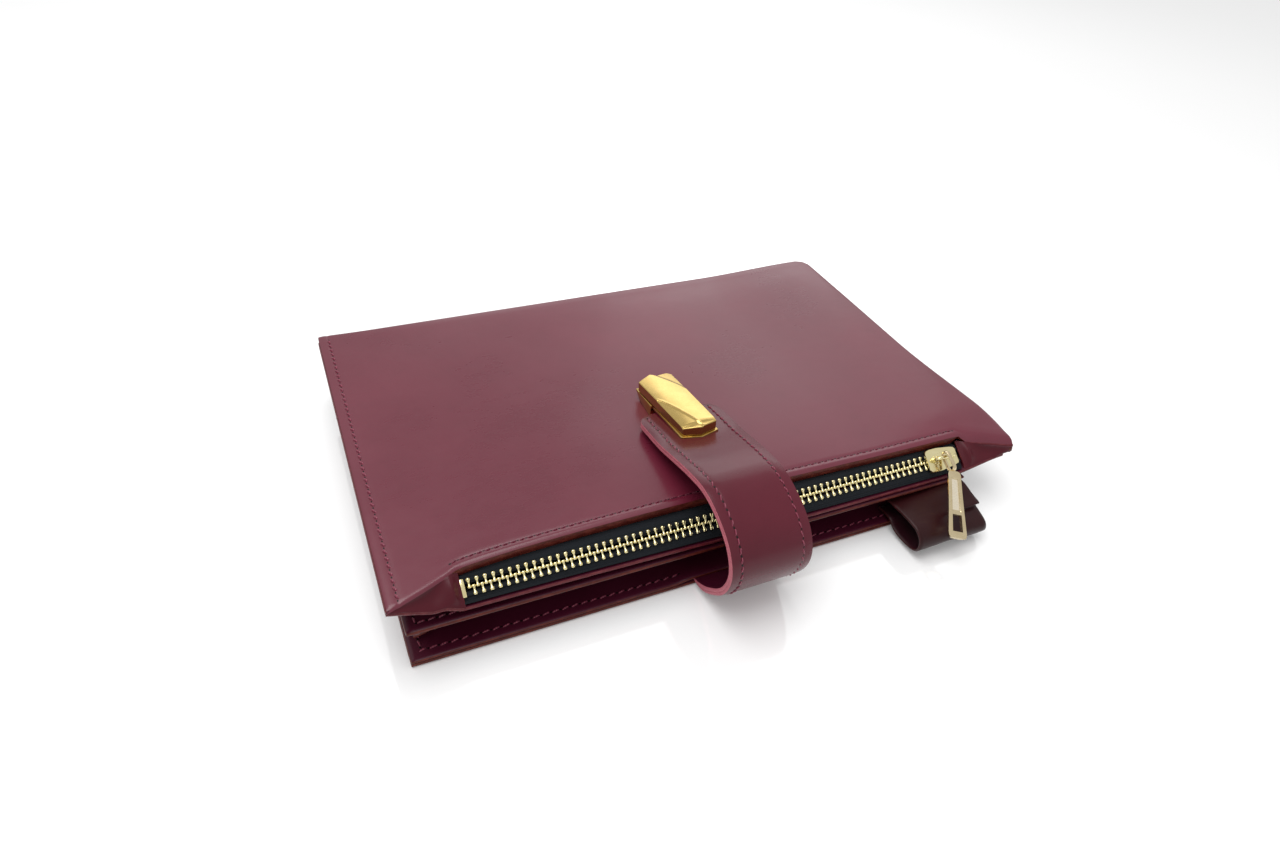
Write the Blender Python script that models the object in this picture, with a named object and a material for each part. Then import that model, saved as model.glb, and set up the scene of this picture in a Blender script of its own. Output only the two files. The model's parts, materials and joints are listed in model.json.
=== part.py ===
"""Leather document folio with a zip pouch, a wrap-over strap and a metal bar clasp.

The folio lies flat: X runs along the zip, -Y is the mouth, +Y the folded back, +Z up.
Design coordinates put y = 0 on the line through the pouch's two front corners and z = 0
on the underside; one empty moves everything so that the origin is under the middle.
"""
import math

import bmesh
import bpy
from mathutils import Matrix, Vector

MM = 0.001
GAP = 0.3 * MM                      # clearance between pieces that touch on the real object

# Driving dimensions of the folio
WIDTH = 270 * MM                    # along the zip
DEPTH = 172.8 * MM                  # front corner line to the back fold
HEIGHT = 31.5 * MM                  # underside to the top panel's face
LEATHER = 1.6 * MM                  # panel leather
BOARD = 0.8 * MM                    # stiffening board
LINING = 0.5 * MM                   # pouch lining cloth
POUCH = 13.3 * MM                   # thickness of the zip pouch
FOLD_RADIUS = 5 * MM                # rounded back and right edges of the pouch
CORNER_RADIUS = 8 * MM              # far right corner, seen from above
PANEL_FRONT = 0.2 * MM              # the top panel's front corners
SEAM_INNER = 8 * MM                 # the sewn left end, where the two pouch leathers meet
SEAM_FOOT = 20 * MM                 # where the lower leather has come down from the seam
FLOOR_BACK = DEPTH - 2.2 * MM
FLOOR_RIGHT_INSET = 1 * MM
BOARD_INSETS = (24 * MM, 4 * MM)    # pouch board and linings, from the left and right ends
BOARD_Y = (24 * MM, DEPTH - 8 * MM)
LINING_FRONT = 10 * MM
TAB_WALL = 2.2 * MM                 # thickness of the end tabs
TAB_CORNERS = (21 * MM, 2.5 * MM)   # their outer corners, from the left and right ends
TAB_LEANS = (8.0 * MM, 1.0 * MM)    # how far those outer corners lean back
TAB_LEAN_INNER = 8.5 * MM
TAB_FRONT = (2.6 * MM, 3.0 * MM)    # y of the foot of a tab, outer and inner

# The rear cover, under everything
REAR_INSET_LEFT = 5 * MM            # how far its ends sit in from the pouch's ends
REAR_INSET_RIGHT = 22 * MM
REAR_FRONT = -0.5 * MM
REAR_LINING = 1.0 * MM
REAR_COVER = 1.5 * MM
SPINE_RADIUS = 7 * MM
REAR_BOARD_INSET = 8 * MM           # the board stays clear of the cover's sewn ends
REAR_BOARD_Y = (32 * MM, DEPTH - 16 * MM)
ANCHOR_BACK = 28 * MM               # how far the strap runs in under the rear lining
DIVIDER_Y = (0.5 * MM, DEPTH - 4 * MM)
DIVIDER_THICK = 1.7 * MM
GUSSET_Y = (8 * MM, DEPTH - 30 * MM)
GUSSET_INSET = 3 * MM
GUSSET_DEEP = 11 * MM               # how far the folded side leather reaches in
GUSSET_WALL = 1.2 * MM

# Zip
ZIP_START = -110 * MM               # left end of the recess
ZIP_END = 112 * MM                  # right end of the recess
RECESS_TOP = (12.2 * MM, HEIGHT - 2.0 * MM)      # y, z of the recess's upper edge
RECESS_LIP = (1.2 * MM, HEIGHT - 10.4 * MM)      # y, z of its lower edge
TOOTH_PITCH = 3.0 * MM
CHAIN_HALF = 4.2 * MM               # half the width of the closed chain
CHAIN_THICK = 2.2 * MM
CORD_HALF = 2.7 * MM                # where the tape's corded edge starts, from the middle line
TOOTH_WIDTH = 1.5 * MM
TAPE_REACH = {"upper": 6.2 * MM, "lower": 6.0 * MM}
TAPE_THICK = 0.7 * MM
END_CLEAR = 0.8 * MM                # tapes stop short of the recess's ends
FIRST_TOOTH = 2.5 * MM              # from the recess's left end
STOP_STEP = 2.9 * MM                # end stops past the last tooth
STOP_THICK = 2.4 * MM
WEB_HALF = 0.75 * MM                # room for the slider's post between the two rows
SLIDER_X = 103 * MM                 # closed position of the slider's middle
SLIDER_LENGTH = 16 * MM
SLIDER_WIDTH = 10 * MM
SLIDER_PLATE = 1.0 * MM
SLIDER_WAIST = 0.82                 # width of its nose and tail against its shoulders
SLIDER_NOSE = 4.3 * MM              # the teeth run this far past the slider's middle
BRIDGE_X = (-6 * MM, 5 * MM)        # feet of the bridge along the slider
BRIDGE_CHAMFER = 1.2 * MM
BAR_HALF = 0.75 * MM                # half the thickness of the bridge's bar
EYE_HOLE = 1.5 * MM                 # radius of the hole in the pull's eye, which turns on the bar
EYE_OUTER = 2.6 * MM
EYE_LENGTH = 4.6 * MM
PULL_LENGTH = 36 * MM
PULL_THICK = 1.6 * MM
PULL_SIDE = (2.2 * MM, 2.4 * MM, 3.7 * MM, 2.9 * MM)     # half widths from the neck to the end
WINDOW_HALF = 1.8 * MM
WINDOW_REACH = (2.6 * MM, 9.5 * MM)                      # from the pull's end
PULL_YAW = math.radians(25)         # how far the pull leans to the left, lying on the pleats
PULL_DROP = math.radians(30)        # and how far it slopes down

# Strap
STRAP_X = -1 * MM
STRAP_WIDTH = 36 * MM
STRAP_OUTER = 1.4 * MM
STRAP_INNER = 1.3 * MM
STRAP_TIP = 66.5 * MM
STRAP_CORNER = 7 * MM               # radius of the tip's two corners
# The strap's inner face as y, z from the top panel's front corner line, tip to root
STRAP_ROUTE = ((66.5, 1.5), (54, 3.2), (40, 5.6), (27, 9.2), (15, 12.4), (3, 14.2), (-8, 11.6),
               (-17.5, 5.5), (-21.6, -3.5), (-18.6, -14), (-10.5, -22.8), (-5, -26.6), (-1.4, -28.3))
HUMP_POINT = 5                      # the route's point where the tongue bends away from the loop
ROUTE_STEPS = 5

# Clasp
CLASP_NEAR = (40 * MM, HEIGHT + 8.9 * MM)        # y, z of the bar's near end, on the strap
CLASP_TILT = math.radians(-8.0)     # the bar lies on the strap's slope
CLASP_LENGTH = 42 * MM
CLASP_WIDTH = 16.5 * MM
CLASP_THICK = 4.6 * MM
FRAME_THICK = 0.7 * MM              # the plate between the bar and the strap
FRAME_LENGTH = 26 * MM
FRAME_RIM = 0.7 * MM                # how far that plate stands out round the bar
NEAR_POINT = 0.8 * MM               # the bar's near end comes to a shallow point
NEAR_CORNER = 1.5 * MM
FAR_CORNERS = (4 * MM, 2 * MM)      # the far end's cut corners, left and right
FAR_NOTCH = 1.8 * MM
BASE_NEAR = 67.9 * MM
BASE_LENGTH = 12.5 * MM
BASE_SLANT = 5.5 * MM               # how far its back face leans in, towards the panel
CATCH_Y = 73.6 * MM                 # the magnet and its keeper
CATCH_RADIUS = 3.6 * MM
RIVET_STEPS = (8 * MM, 20 * MM)     # along the bar from its near end
RIVET_RADIUS = 1.4 * MM
SCREW_RADIUS = 1.1 * MM
SCREW_OFFSET = 5.6 * MM             # either side of the clasp's middle

# Right-hand pleated ear: y, z of its outer face, upper root to lower root, above the floor
EAR_PROFILE = ((6, 15.2), (-4, 15.4), (-13.6, 14.6), (-11.6, 11.9), (-15.0, 12.6), (-19.5, 11.6),
               (-21.8, 8.2), (-20.6, 4.6), (-16, 2.0), (-8, 1.6), (-3.6, 3.2), (-1, 4.5), (6, 4.5))
EAR_LEFT, EAR_RIGHT = 75 * MM, 111 * MM
EAR_WALL = 1.2 * MM

FRONT_REACH = 27.46 * MM            # how far the pull lies out in front
CENTRE_Y = (DEPTH - FRONT_REACH) / 2


def clear_scene():
    """Removes whatever the file holds, so that the script can be run again."""
    for old in list(bpy.data.objects):
        bpy.data.objects.remove(old, do_unlink=True)


def make_material(name, colour, roughness, metallic=0.0):
    """A Principled material of one colour."""
    material = bpy.data.materials.new(name)
    material.use_nodes = True
    shader = material.node_tree.nodes["Principled BSDF"]
    shader.inputs["Base Color"].default_value = (*colour, 1.0)
    shader.inputs["Roughness"].default_value = roughness
    shader.inputs["Metallic"].default_value = metallic
    return material


clear_scene()
ROOT = bpy.data.objects.new("folio_origin", None)
ROOT.location = (0, -CENTRE_Y, 0)
bpy.context.scene.collection.objects.link(ROOT)

BURGUNDY = make_material("burgundy_leather", (0.16, 0.02, 0.045), 0.32)
RAW_EDGE = make_material("raw_pink_leather", (0.42, 0.12, 0.16), 0.55)
CLOTH = make_material("black_cloth", (0.01, 0.01, 0.013), 0.85)
CARD = make_material("grey_board", (0.25, 0.23, 0.2), 0.8)
BRASS = make_material("pale_brass", (0.83, 0.68, 0.36), 0.25, 1.0)
GOLD = make_material("polished_gold", (0.95, 0.66, 0.18), 0.12, 1.0)
STEEL = make_material("plated_steel", (0.6, 0.6, 0.6), 0.3, 1.0)


def add_object(name, mesh, material, parent=None, location=(0, 0, 0), rotation=(0, 0, 0)):
    """Puts a mesh into the scene under the folio's origin or another empty."""
    mesh.materials.append(material)
    item = bpy.data.objects.new(name, mesh)
    item.parent = parent or ROOT
    item.location = location
    item.rotation_euler = rotation
    bpy.context.scene.collection.objects.link(item)
    return item


def finish_mesh(name, work):
    """Turns a bmesh into a mesh whose faces all point outwards."""
    bmesh.ops.recalc_face_normals(work, faces=work.faces)
    mesh = bpy.data.meshes.new(name)
    work.to_mesh(mesh)
    work.free()
    mesh.shade_smooth()
    mesh.set_sharp_from_angle(angle=math.radians(35))
    return mesh


def prism(name, outline, axis, low, high):
    """Extrudes a closed outline along X, Y or Z, from low to high."""
    work = bmesh.new()
    place = {"X": lambda a, b: (low, a, b),
             "Y": lambda a, b: (a, low, b),
             "Z": lambda a, b: (a, b, low)}[axis]
    face = work.faces.new([work.verts.new(place(a, b)) for a, b in outline])
    grown = bmesh.ops.extrude_face_region(work, geom=[face])
    step = Vector([high - low if letter == axis else 0.0 for letter in "XYZ"])
    lifted = [v for v in grown["geom"] if isinstance(v, bmesh.types.BMVert)]
    bmesh.ops.translate(work, vec=step, verts=lifted)
    return finish_mesh(name, work)


def block(name, x_range, y_range, z_range):
    """A box between three ranges."""
    (x0, x1), (y0, y1) = x_range, y_range
    return prism(name, ((x0, y0), (x1, y0), (x1, y1), (x0, y1)), "Z", *z_range)


def hull(name, points):
    """The convex solid round a few points."""
    work = bmesh.new()
    made = [work.verts.new(point) for point in points]
    bmesh.ops.convex_hull(work, input=made)
    loose = [v for v in work.verts if not v.link_faces]
    bmesh.ops.delete(work, geom=loose, context="VERTS")
    return finish_mesh(name, work)


def disc(name, radius, low, high, sides=20):
    """A short cylinder on the Z axis."""
    ring = [(radius * math.cos(math.tau * k / sides), radius * math.sin(math.tau * k / sides))
            for k in range(sides)]
    return prism(name, ring, "Z", low, high)


def bevel(item, width, segments=2, angle=40):
    """Rounds an object's edges that are sharper than the angle."""
    modifier = item.modifiers.new("edges", "BEVEL")
    modifier.width = width
    modifier.segments = segments
    modifier.limit_method = "ANGLE"
    modifier.angle_limit = math.radians(angle)
    return item


def cut(item, cutter, operation="DIFFERENCE"):
    """Cuts one object with another, which stays as a wire guide."""
    modifier = item.modifiers.new(operation.lower(), "BOOLEAN")
    modifier.operation = operation
    modifier.object = cutter
    cutter.hide_render = True
    cutter.display_type = "WIRE"
    return item


def smooth_route(points, steps):
    """A Catmull-Rom curve through points, with the same number of steps in each span."""
    ends = [2 * Vector(points[0]) - Vector(points[1])]
    ends += [Vector(p) for p in points]
    ends.append(2 * ends[-1] - ends[-2])
    route = []
    for before, start, end, after in zip(ends, ends[1:], ends[2:], ends[3:]):
        for k in range(steps):
            t = k / steps
            route.append(0.5 * (2 * start + (end - before) * t
                                + (2 * before - 5 * start + 4 * end - after) * t * t
                                + (3 * start - before - 3 * end + after) * t ** 3))
    route.append(ends[-2])
    return route


def offset_route(route, distance):
    """Moves every point of a route to its right-hand side."""
    moved = []
    for k, point in enumerate(route):
        heading = (route[min(k + 1, len(route) - 1)] - route[max(k - 1, 0)]).normalized()
        moved.append(point + distance * Vector((heading.y, -heading.x)))
    return moved


def band(name, route, inside, outside, x_range):
    """A strip of leather that follows a route in y and z, between two offsets from it."""
    near, far = offset_route(route, inside), offset_route(route, outside)
    return prism(name, [tuple(p) for p in near + far[::-1]], "X", *x_range)


# ---------------------------------------------------------------- rear cover, spine and divider
LEFT, RIGHT = -WIDTH / 2, WIDTH / 2
REAR_X = (LEFT + REAR_INSET_LEFT, RIGHT - REAR_INSET_RIGHT)
POUCH_FLOOR = HEIGHT - POUCH
DIVIDER_TOP = POUCH_FLOOR - GAP
DIVIDER_LOW = DIVIDER_TOP - GAP - DIVIDER_THICK
LINING_LOW = REAR_COVER + BOARD + 2 * GAP
LINING_TOP = LINING_LOW + REAR_LINING


def quarter(centre_y, centre_z, radius, start, end, steps=6):
    """Points along an arc in y and z, with the angles in degrees."""
    angles = [math.radians(start + (end - start) * k / steps) for k in range(steps + 1)]
    return [(centre_y + radius * math.cos(a), centre_z + radius * math.sin(a)) for a in angles]


def make_rear_cover():
    """Outer leather of the rear panel, turned up at the back as the spine."""
    back = DEPTH - 1 * MM
    corner = back - SPINE_RADIUS
    outer = [(REAR_FRONT, 0), (corner, 0)] + quarter(corner, SPINE_RADIUS, SPINE_RADIUS, -90, 0)[1:]
    rise = DIVIDER_TOP - 0.5 * MM
    inner = quarter(corner, SPINE_RADIUS, SPINE_RADIUS - REAR_COVER, 0, -90)
    outline = outer + [(back, rise), (back - REAR_COVER, rise)] + inner + [(REAR_FRONT, REAR_COVER)]
    add_object("rear_cover", prism("rear_cover", outline, "X", *REAR_X), BURGUNDY)


def make_rear_layers():
    """The board and the lining leather on the rear cover, and the divider above the mouth."""
    inner_x = (REAR_X[0] + REAR_BOARD_INSET, REAR_X[1] - REAR_BOARD_INSET)
    low = REAR_COVER + GAP
    add_object("rear_board", block("rear_board", inner_x, REAR_BOARD_Y, (low, low + BOARD)), CARD)
    add_object("rear_lining", block("rear_lining", REAR_X, (REAR_FRONT, DEPTH - 12 * MM),
                                    (LINING_LOW, LINING_TOP)), BURGUNDY)
    anchor_x = (STRAP_X - STRAP_WIDTH / 2, STRAP_X + STRAP_WIDTH / 2)
    add_object("strap_anchor", block("strap_anchor", anchor_x, (REAR_FRONT, ANCHOR_BACK), (low, low + BOARD)),
               RAW_EDGE)
    add_object("divider_panel", block("divider_panel", REAR_X, DIVIDER_Y, (DIVIDER_LOW, DIVIDER_TOP - GAP)),
               BURGUNDY)


def make_gussets():
    """Folded side leathers between the rear panel and the divider, and the pleated ear."""
    high, low = DIVIDER_LOW - GAP, LINING_TOP + GAP
    middle, wall = (high + low) / 2, GUSSET_WALL
    for name, end, inward in (("left_gusset", REAR_X[0], 1), ("right_gusset", REAR_X[1], -1)):
        edge = end + GUSSET_INSET * inward
        fold = edge + GUSSET_DEEP * inward
        back = fold + 2 * wall * inward
        outline = [(edge, low), (edge, low + wall), (fold, middle), (edge, high - wall), (edge, high),
                   (back, middle + wall / 2), (back, middle - wall / 2)]
        add_object(name, prism(name, outline, "Y", *GUSSET_Y), BURGUNDY)


def make_ear():
    """The pleated leather ear at the right of the mouth: a hollow fold, open to the left."""
    route = smooth_route([(y * MM, z * MM) for y, z in EAR_PROFILE], 3)
    outer = [tuple(p) for p in route]
    inner = [tuple(p) for p in offset_route(route, -EAR_WALL)]
    wall = prism("right_ear", outer + inner[::-1], "X", EAR_LEFT, EAR_RIGHT)
    add_object("right_ear", wall, BURGUNDY)


# ---------------------------------------------------------------- zip pouch
def make_pouch_top():
    """The pouch's upper leather, turned down at the back and on the right."""
    corner = CORNER_RADIUS
    edge = [(LEFT, PANEL_FRONT), (ZIP_START, RECESS_TOP[0]), (ZIP_END, RECESS_TOP[0]), (RIGHT, PANEL_FRONT)]
    back = [(RIGHT - corner + corner * math.cos(a), DEPTH - corner + corner * math.sin(a))
            for a in (math.radians(90 * k / 4) for k in range(5))]
    outline = edge + back + [(LEFT, DEPTH)]
    skirt = HEIGHT - POUCH + LEATHER + GAP + GAP
    shell = add_object("pouch_top_panel", prism("pouch_top_panel", outline, "Z", skirt, HEIGHT), BURGUNDY)
    round_folds(shell)
    clear = 5 * MM                                  # the cutter runs past the open sides
    hollow = [(LEFT - clear, -clear), (RIGHT - LEATHER, -clear), (RIGHT - LEATHER, DEPTH - corner),
              (RIGHT - corner, DEPTH - LEATHER), (LEFT - clear, DEPTH - LEATHER)]
    room = prism("pouch_room", hollow, "Z", skirt - clear, HEIGHT - LEATHER)
    cut(shell, add_object("pouch_room_cutter", room, CLOTH))


def round_folds(shell):
    """Rounds the top edges along the back and the right, where the leather is folded down."""
    rounding = shell.modifiers.new("folded_edges", "BEVEL")
    rounding.width = FOLD_RADIUS
    rounding.segments = 3
    rounding.limit_method = "WEIGHT"
    weights = shell.data.attributes.new("bevel_weight_edge", "FLOAT", "EDGE")
    for index, side in enumerate(shell.data.edges):
        a, b = (shell.data.vertices[v].co for v in side.vertices)
        middle = (a + b) / 2
        on_top = min(a.z, b.z) > HEIGHT - GAP / 10
        folded = middle.y > DEPTH - CORNER_RADIUS or middle.x > RIGHT - CORNER_RADIUS
        at_front = middle.y < RECESS_TOP[0]
        weights.data[index].value = 1.0 if on_top and folded and not at_front else 0.0


def make_pouch_floor():
    """The pouch's lower leather: flat, and raised on the left to meet the upper leather."""
    high, low = POUCH_FLOOR + LEATHER, POUCH_FLOOR
    seam_top = HEIGHT - LEATHER - GAP
    right, step = RIGHT - FLOOR_RIGHT_INSET, 1 * MM
    outline = [(LEFT, seam_top - LEATHER), (LEFT + SEAM_INNER - step, seam_top - LEATHER),
               (LEFT + SEAM_FOOT - step, low), (right, low), (right, high), (LEFT + SEAM_FOOT, high),
               (LEFT + SEAM_INNER, seam_top), (LEFT, seam_top)]
    panel = prism("pouch_lower_panel", outline, "Y", RECESS_LIP[0], FLOOR_BACK)
    add_object("pouch_lower_panel", panel, BURGUNDY)


def clasp_plate_ranges(margin=0.0):
    """X and Y ranges of the plate that backs the clasp's block, inside the pouch."""
    half = CLASP_WIDTH / 2 - 0.5 * MM + margin
    near, far = BASE_NEAR - 1.5 * MM - margin, BASE_NEAR + 9.5 * MM + margin
    return (STRAP_X - half, STRAP_X + half), (near, far)


def make_pouch_inside():
    """The board behind the upper leather and the two lining cloths."""
    x_range = (LEFT + BOARD_INSETS[0], RIGHT - BOARD_INSETS[1])
    top = HEIGHT - LEATHER - GAP
    board = add_object("pouch_board", block("pouch_board", x_range, BOARD_Y, (top - BOARD, top)), CARD)
    plate_x, plate_y = clasp_plate_ranges()
    add_object("clasp_back_plate", block("clasp_back_plate", plate_x, plate_y, (top - BOARD, top)), STEEL)
    around_x, around_y = clasp_plate_ranges(GAP)
    window = block("board_window", around_x, around_y, (top - 3 * BOARD, top + BOARD))
    cut(board, add_object("board_window_cutter", window, CARD))
    top -= BOARD + GAP
    upper = block("pouch_lining_upper", x_range, BOARD_Y, (top - LINING, top))
    add_object("pouch_lining_upper", upper, CLOTH)
    low = POUCH_FLOOR + LEATHER + GAP
    lower = block("pouch_lining_lower", x_range, (LINING_FRONT, BOARD_Y[1]), (low, low + LINING))
    add_object("pouch_lining_lower", lower, CLOTH)


def make_end_tabs():
    """The two leather facets that close the pouch's front beside the zip."""
    high = HEIGHT - LEATHER - GAP
    low = POUCH_FLOOR + LEATHER + GAP
    clear = 0.5 * MM                                # between a tab and the zip's tapes
    sides = (("left_end_tab", LEFT + TAB_CORNERS[0], ZIP_START - clear, TAB_LEANS[0]),
             ("right_end_tab", RIGHT - TAB_CORNERS[1], ZIP_END + clear, TAB_LEANS[1]))
    for name, outer, inner, lean in sides:
        points = []
        for shift in (0, TAB_WALL):
            foot, foot_inner = (y + shift for y in TAB_FRONT)
            points += [(outer, foot, low), (inner, foot_inner, low),
                       (outer, foot + lean, high), (inner, foot_inner + TAB_LEAN_INNER, high)]
        add_object(name, hull(name, points), BURGUNDY)


# ---------------------------------------------------------------- zip
ALONG = Vector(RECESS_TOP) - Vector(RECESS_LIP)
ZIP_TILT = math.atan2(ALONG.y, ALONG.x)
ZIP_MIDDLE = (Vector(RECESS_TOP) + Vector(RECESS_LIP)) / 2


def add_empty(name, location, tilt=0.0):
    """An empty that carries the pieces of one moving or tilted group."""
    empty = bpy.data.objects.new(name, None)
    empty.parent = ROOT
    empty.location = location
    empty.rotation_euler = (tilt, 0, 0)
    bpy.context.scene.collection.objects.link(empty)
    return empty


def add_zip_frame(name, x):
    """An empty on the zip's middle line, with its Y up the zip's face and Z out of it."""
    return add_empty(name, (x, ZIP_MIDDLE.x, ZIP_MIDDLE.y), ZIP_TILT)


def make_zip_rows():
    """Two tapes, each with its row of teeth on a corded edge, and the stops at both ends."""
    frame = add_zip_frame("zip_frame", 0)
    first, last = ZIP_START + FIRST_TOOTH, SLIDER_X + SLIDER_NOSE
    stop_z = (-STOP_THICK / 2, STOP_THICK / 2)
    for row, side in (("upper", 1), ("lower", -1)):
        name = "zip_teeth_" + row
        outline = tooth_row_outline(first, last, side)
        teeth = prism(name, [(x, side * y) for x, y in outline], "Z", -CHAIN_THICK / 2, CHAIN_THICK / 2)
        add_object(name, teeth, BRASS, frame)
        name = "zip_tape_" + row
        tape_x = (ZIP_START + END_CLEAR, ZIP_END - END_CLEAR)
        tape_y = sorted((side * (CHAIN_HALF + GAP), side * TAPE_REACH[row]))
        tape = block(name, tape_x, tape_y, (-TAPE_THICK / 2, TAPE_THICK / 2))
        add_object(name, tape, CLOTH, frame)
        name = "zip_end_stop_" + row
        stop = block(name, (-1 * MM, 1 * MM), sorted((side * 0.9 * MM, side * 3.6 * MM)), stop_z)
        add_object(name, stop, BRASS, frame, (last + STOP_STEP, 0, 0))
    first_stop = block("zip_start_stop", (-0.9 * MM, 0.9 * MM), (-3.4 * MM, 3.4 * MM), stop_z)
    add_object("zip_start_stop", first_stop, BRASS, frame, (first - 1.3 * MM, 0, 0))


def tooth_row_outline(first, last, side):
    """A row of teeth on its cord, as x and distance from the middle; the rows are half a pitch apart."""
    end = last + 1.5 * MM
    start = first + 0.4 * MM + (0.0 if side > 0 else TOOTH_PITCH / 2)
    outline = [(first, CHAIN_HALF), (first, CORD_HALF)]
    for k in range(int((last - first) / TOOTH_PITCH)):
        x = start + k * TOOTH_PITCH
        outline += [(x, CORD_HALF), (x, WEB_HALF), (x + TOOTH_WIDTH, WEB_HALF), (x + TOOTH_WIDTH, CORD_HALF)]
    return outline + [(end, CORD_HALF), (end, CHAIN_HALF)]


def make_slider():
    """The slider: two plates joined by a post between the rows, and the bridge on top."""
    frame = add_zip_frame("zip_slider_axis", SLIDER_X)
    half, wide = SLIDER_LENGTH / 2, SLIDER_WIDTH / 2
    low = CHAIN_THICK / 2 + GAP
    high = low + SLIDER_PLATE
    narrow = wide * SLIDER_WAIST
    waist = [(-half, -wide), (-half, wide), (-1 * MM, wide), (half, narrow), (half, -narrow),
             (-1 * MM, -wide)]
    plate = prism("slider_body", list(reversed(waist)), "Z", low, high)
    body = add_object("slider_body", plate, BRASS, frame)
    under = add_object("slider_under_cutter", prism("slider_under", waist, "Z", -high, -low), BRASS, frame)
    post = block("slider_post", (1 * MM, half - 0.5 * MM), (GAP - WEB_HALF, WEB_HALF - GAP),
                 (0.4 * MM - high, high - 0.4 * MM))
    cut(body, add_object("slider_post_cutter", post, BRASS, frame), "UNION")
    cut(body, under, "UNION")
    thick = 2 * BAR_HALF
    foot, crown = high + GAP, high + thick + EYE_OUTER + 0.6 * MM
    leg = thick + 0.2 * MM
    left, right, shoulder = *BRIDGE_X, crown - BRIDGE_CHAMFER
    arch = [(left, foot), (left, shoulder), (left + BRIDGE_CHAMFER, crown), (right - BRIDGE_CHAMFER, crown),
            (right, shoulder), (right, foot), (right - leg, foot), (right - leg, crown - thick),
            (left + leg, crown - thick), (left + leg, foot)]
    add_object("slider_bridge", prism("slider_bridge", arch, "Y", -BAR_HALF, BAR_HALF), BRASS, frame)
    return frame, crown - BAR_HALF


def stadium(radius, length, steps=6):
    """A slot's outline with round ends: y from the upper arc's centre down to -length, and z."""
    upper = [math.radians(180 * k / steps) for k in range(steps + 1)]
    ring = [(radius * math.sin(a), radius * math.cos(a)) for a in upper]
    return ring + [(-length - y, -z) for y, z in ring]


def make_pull(frame, lift):
    """The pull: an eye round the bridge's bar, a waisted shank and a frame with a window."""
    spot = Matrix.Rotation(ZIP_TILT, 3, "X") @ Vector((sum(BRIDGE_X) / 2, 0, lift))
    hinge = add_empty("zip_pull_axis", Vector(frame.location) + spot)
    drop, yaw = Matrix.Rotation(PULL_DROP, 4, "X"), Matrix.Rotation(-PULL_YAW, 4, "Z")
    start, end = EYE_LENGTH + EYE_OUTER - 1 * MM, PULL_LENGTH
    side = list(zip(PULL_SIDE, (start, start + 3 * MM, end - 1 * MM, end)))
    outline = [(x, -along) for x, along in side] + [(-x, -along) for x, along in reversed(side)]
    flat = prism("pull_tab", outline, "Z", -PULL_THICK / 2, PULL_THICK / 2)
    shank = add_object("pull_tab", flat, BRASS, hinge)
    window_y = [reach - end for reach in WINDOW_REACH]
    window = block("pull_window", (-WINDOW_HALF, WINDOW_HALF), window_y, (-3 * MM, 3 * MM))
    eye = prism("pull_eye", stadium(EYE_OUTER, EYE_LENGTH), "X", -1 * MM, 1 * MM)
    hole = prism("pull_hole", stadium(EYE_HOLE, EYE_LENGTH - 1 * MM), "X", -3 * MM, 3 * MM)
    pivot = Matrix.Translation((0, -EYE_LENGTH - EYE_OUTER, 0))
    leaning = drop @ pivot @ yaw @ pivot.inverted()
    shank.matrix_local = leaning
    for name, mesh, operation, place in (("pull_window_cutter", window, "DIFFERENCE", leaning),
                                         ("pull_eye_cutter", eye, "UNION", drop),
                                         ("pull_hole_cutter", hole, "DIFFERENCE", drop)):
        tool = add_object(name, mesh, BRASS, hinge)
        tool.matrix_local = place
        cut(shank, tool, operation)


# ---------------------------------------------------------------- strap
def make_strap():
    """The two strap leathers, each in two lengths that meet at the hump's hinge line."""
    route = smooth_route([(y * MM, z * MM + HEIGHT) for y, z in STRAP_ROUTE], ROUTE_STEPS)
    split = HUMP_POINT * ROUTE_STEPS
    sides = (STRAP_X - STRAP_WIDTH / 2, STRAP_X + STRAP_WIDTH / 2)
    step = GAP / 2 * (route[split + 1] - route[split - 1]).normalized()
    lengths = (("tongue", route[:split] + [route[split] - step]),
               ("loop", [route[split] + step] + route[split + 1:]))
    layers = (("strap_lining_", 0.0, STRAP_INNER, RAW_EDGE),
              ("strap_outer_", STRAP_INNER + GAP, STRAP_INNER + GAP + STRAP_OUTER, BURGUNDY))
    made = []
    for name, near, far, material in layers:
        for part, points in lengths:
            made.append(add_object(name + part, band(name + part, points, near, far, sides), material))
            if part == "tongue":
                cut(made[-1], tip_outline(name + "tip_cutter"), "INTERSECT")
    return [item for item in made if item.name.endswith("tongue")]


def tip_outline(name):
    """A tall solid over the tongue, as wide as the strap, with the tip's two round corners."""
    half, radius = STRAP_WIDTH / 2, STRAP_CORNER
    start = -100 * MM
    arc = [math.radians(90 * k / 5) for k in range(6)]
    outline = [(-half - MM, start), (half + MM, start)]
    outline += [(half - radius + radius * math.cos(a), radius * math.sin(a) - radius) for a in arc]
    outline += [(radius - half - radius * math.sin(a), radius * math.cos(a) - radius) for a in arc]
    return add_object(name, prism(name, outline, "Z", -5 * MM, 30 * MM), BURGUNDY,
                      location=(STRAP_X, STRAP_TIP - 0.2 * MM, HEIGHT))


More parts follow.
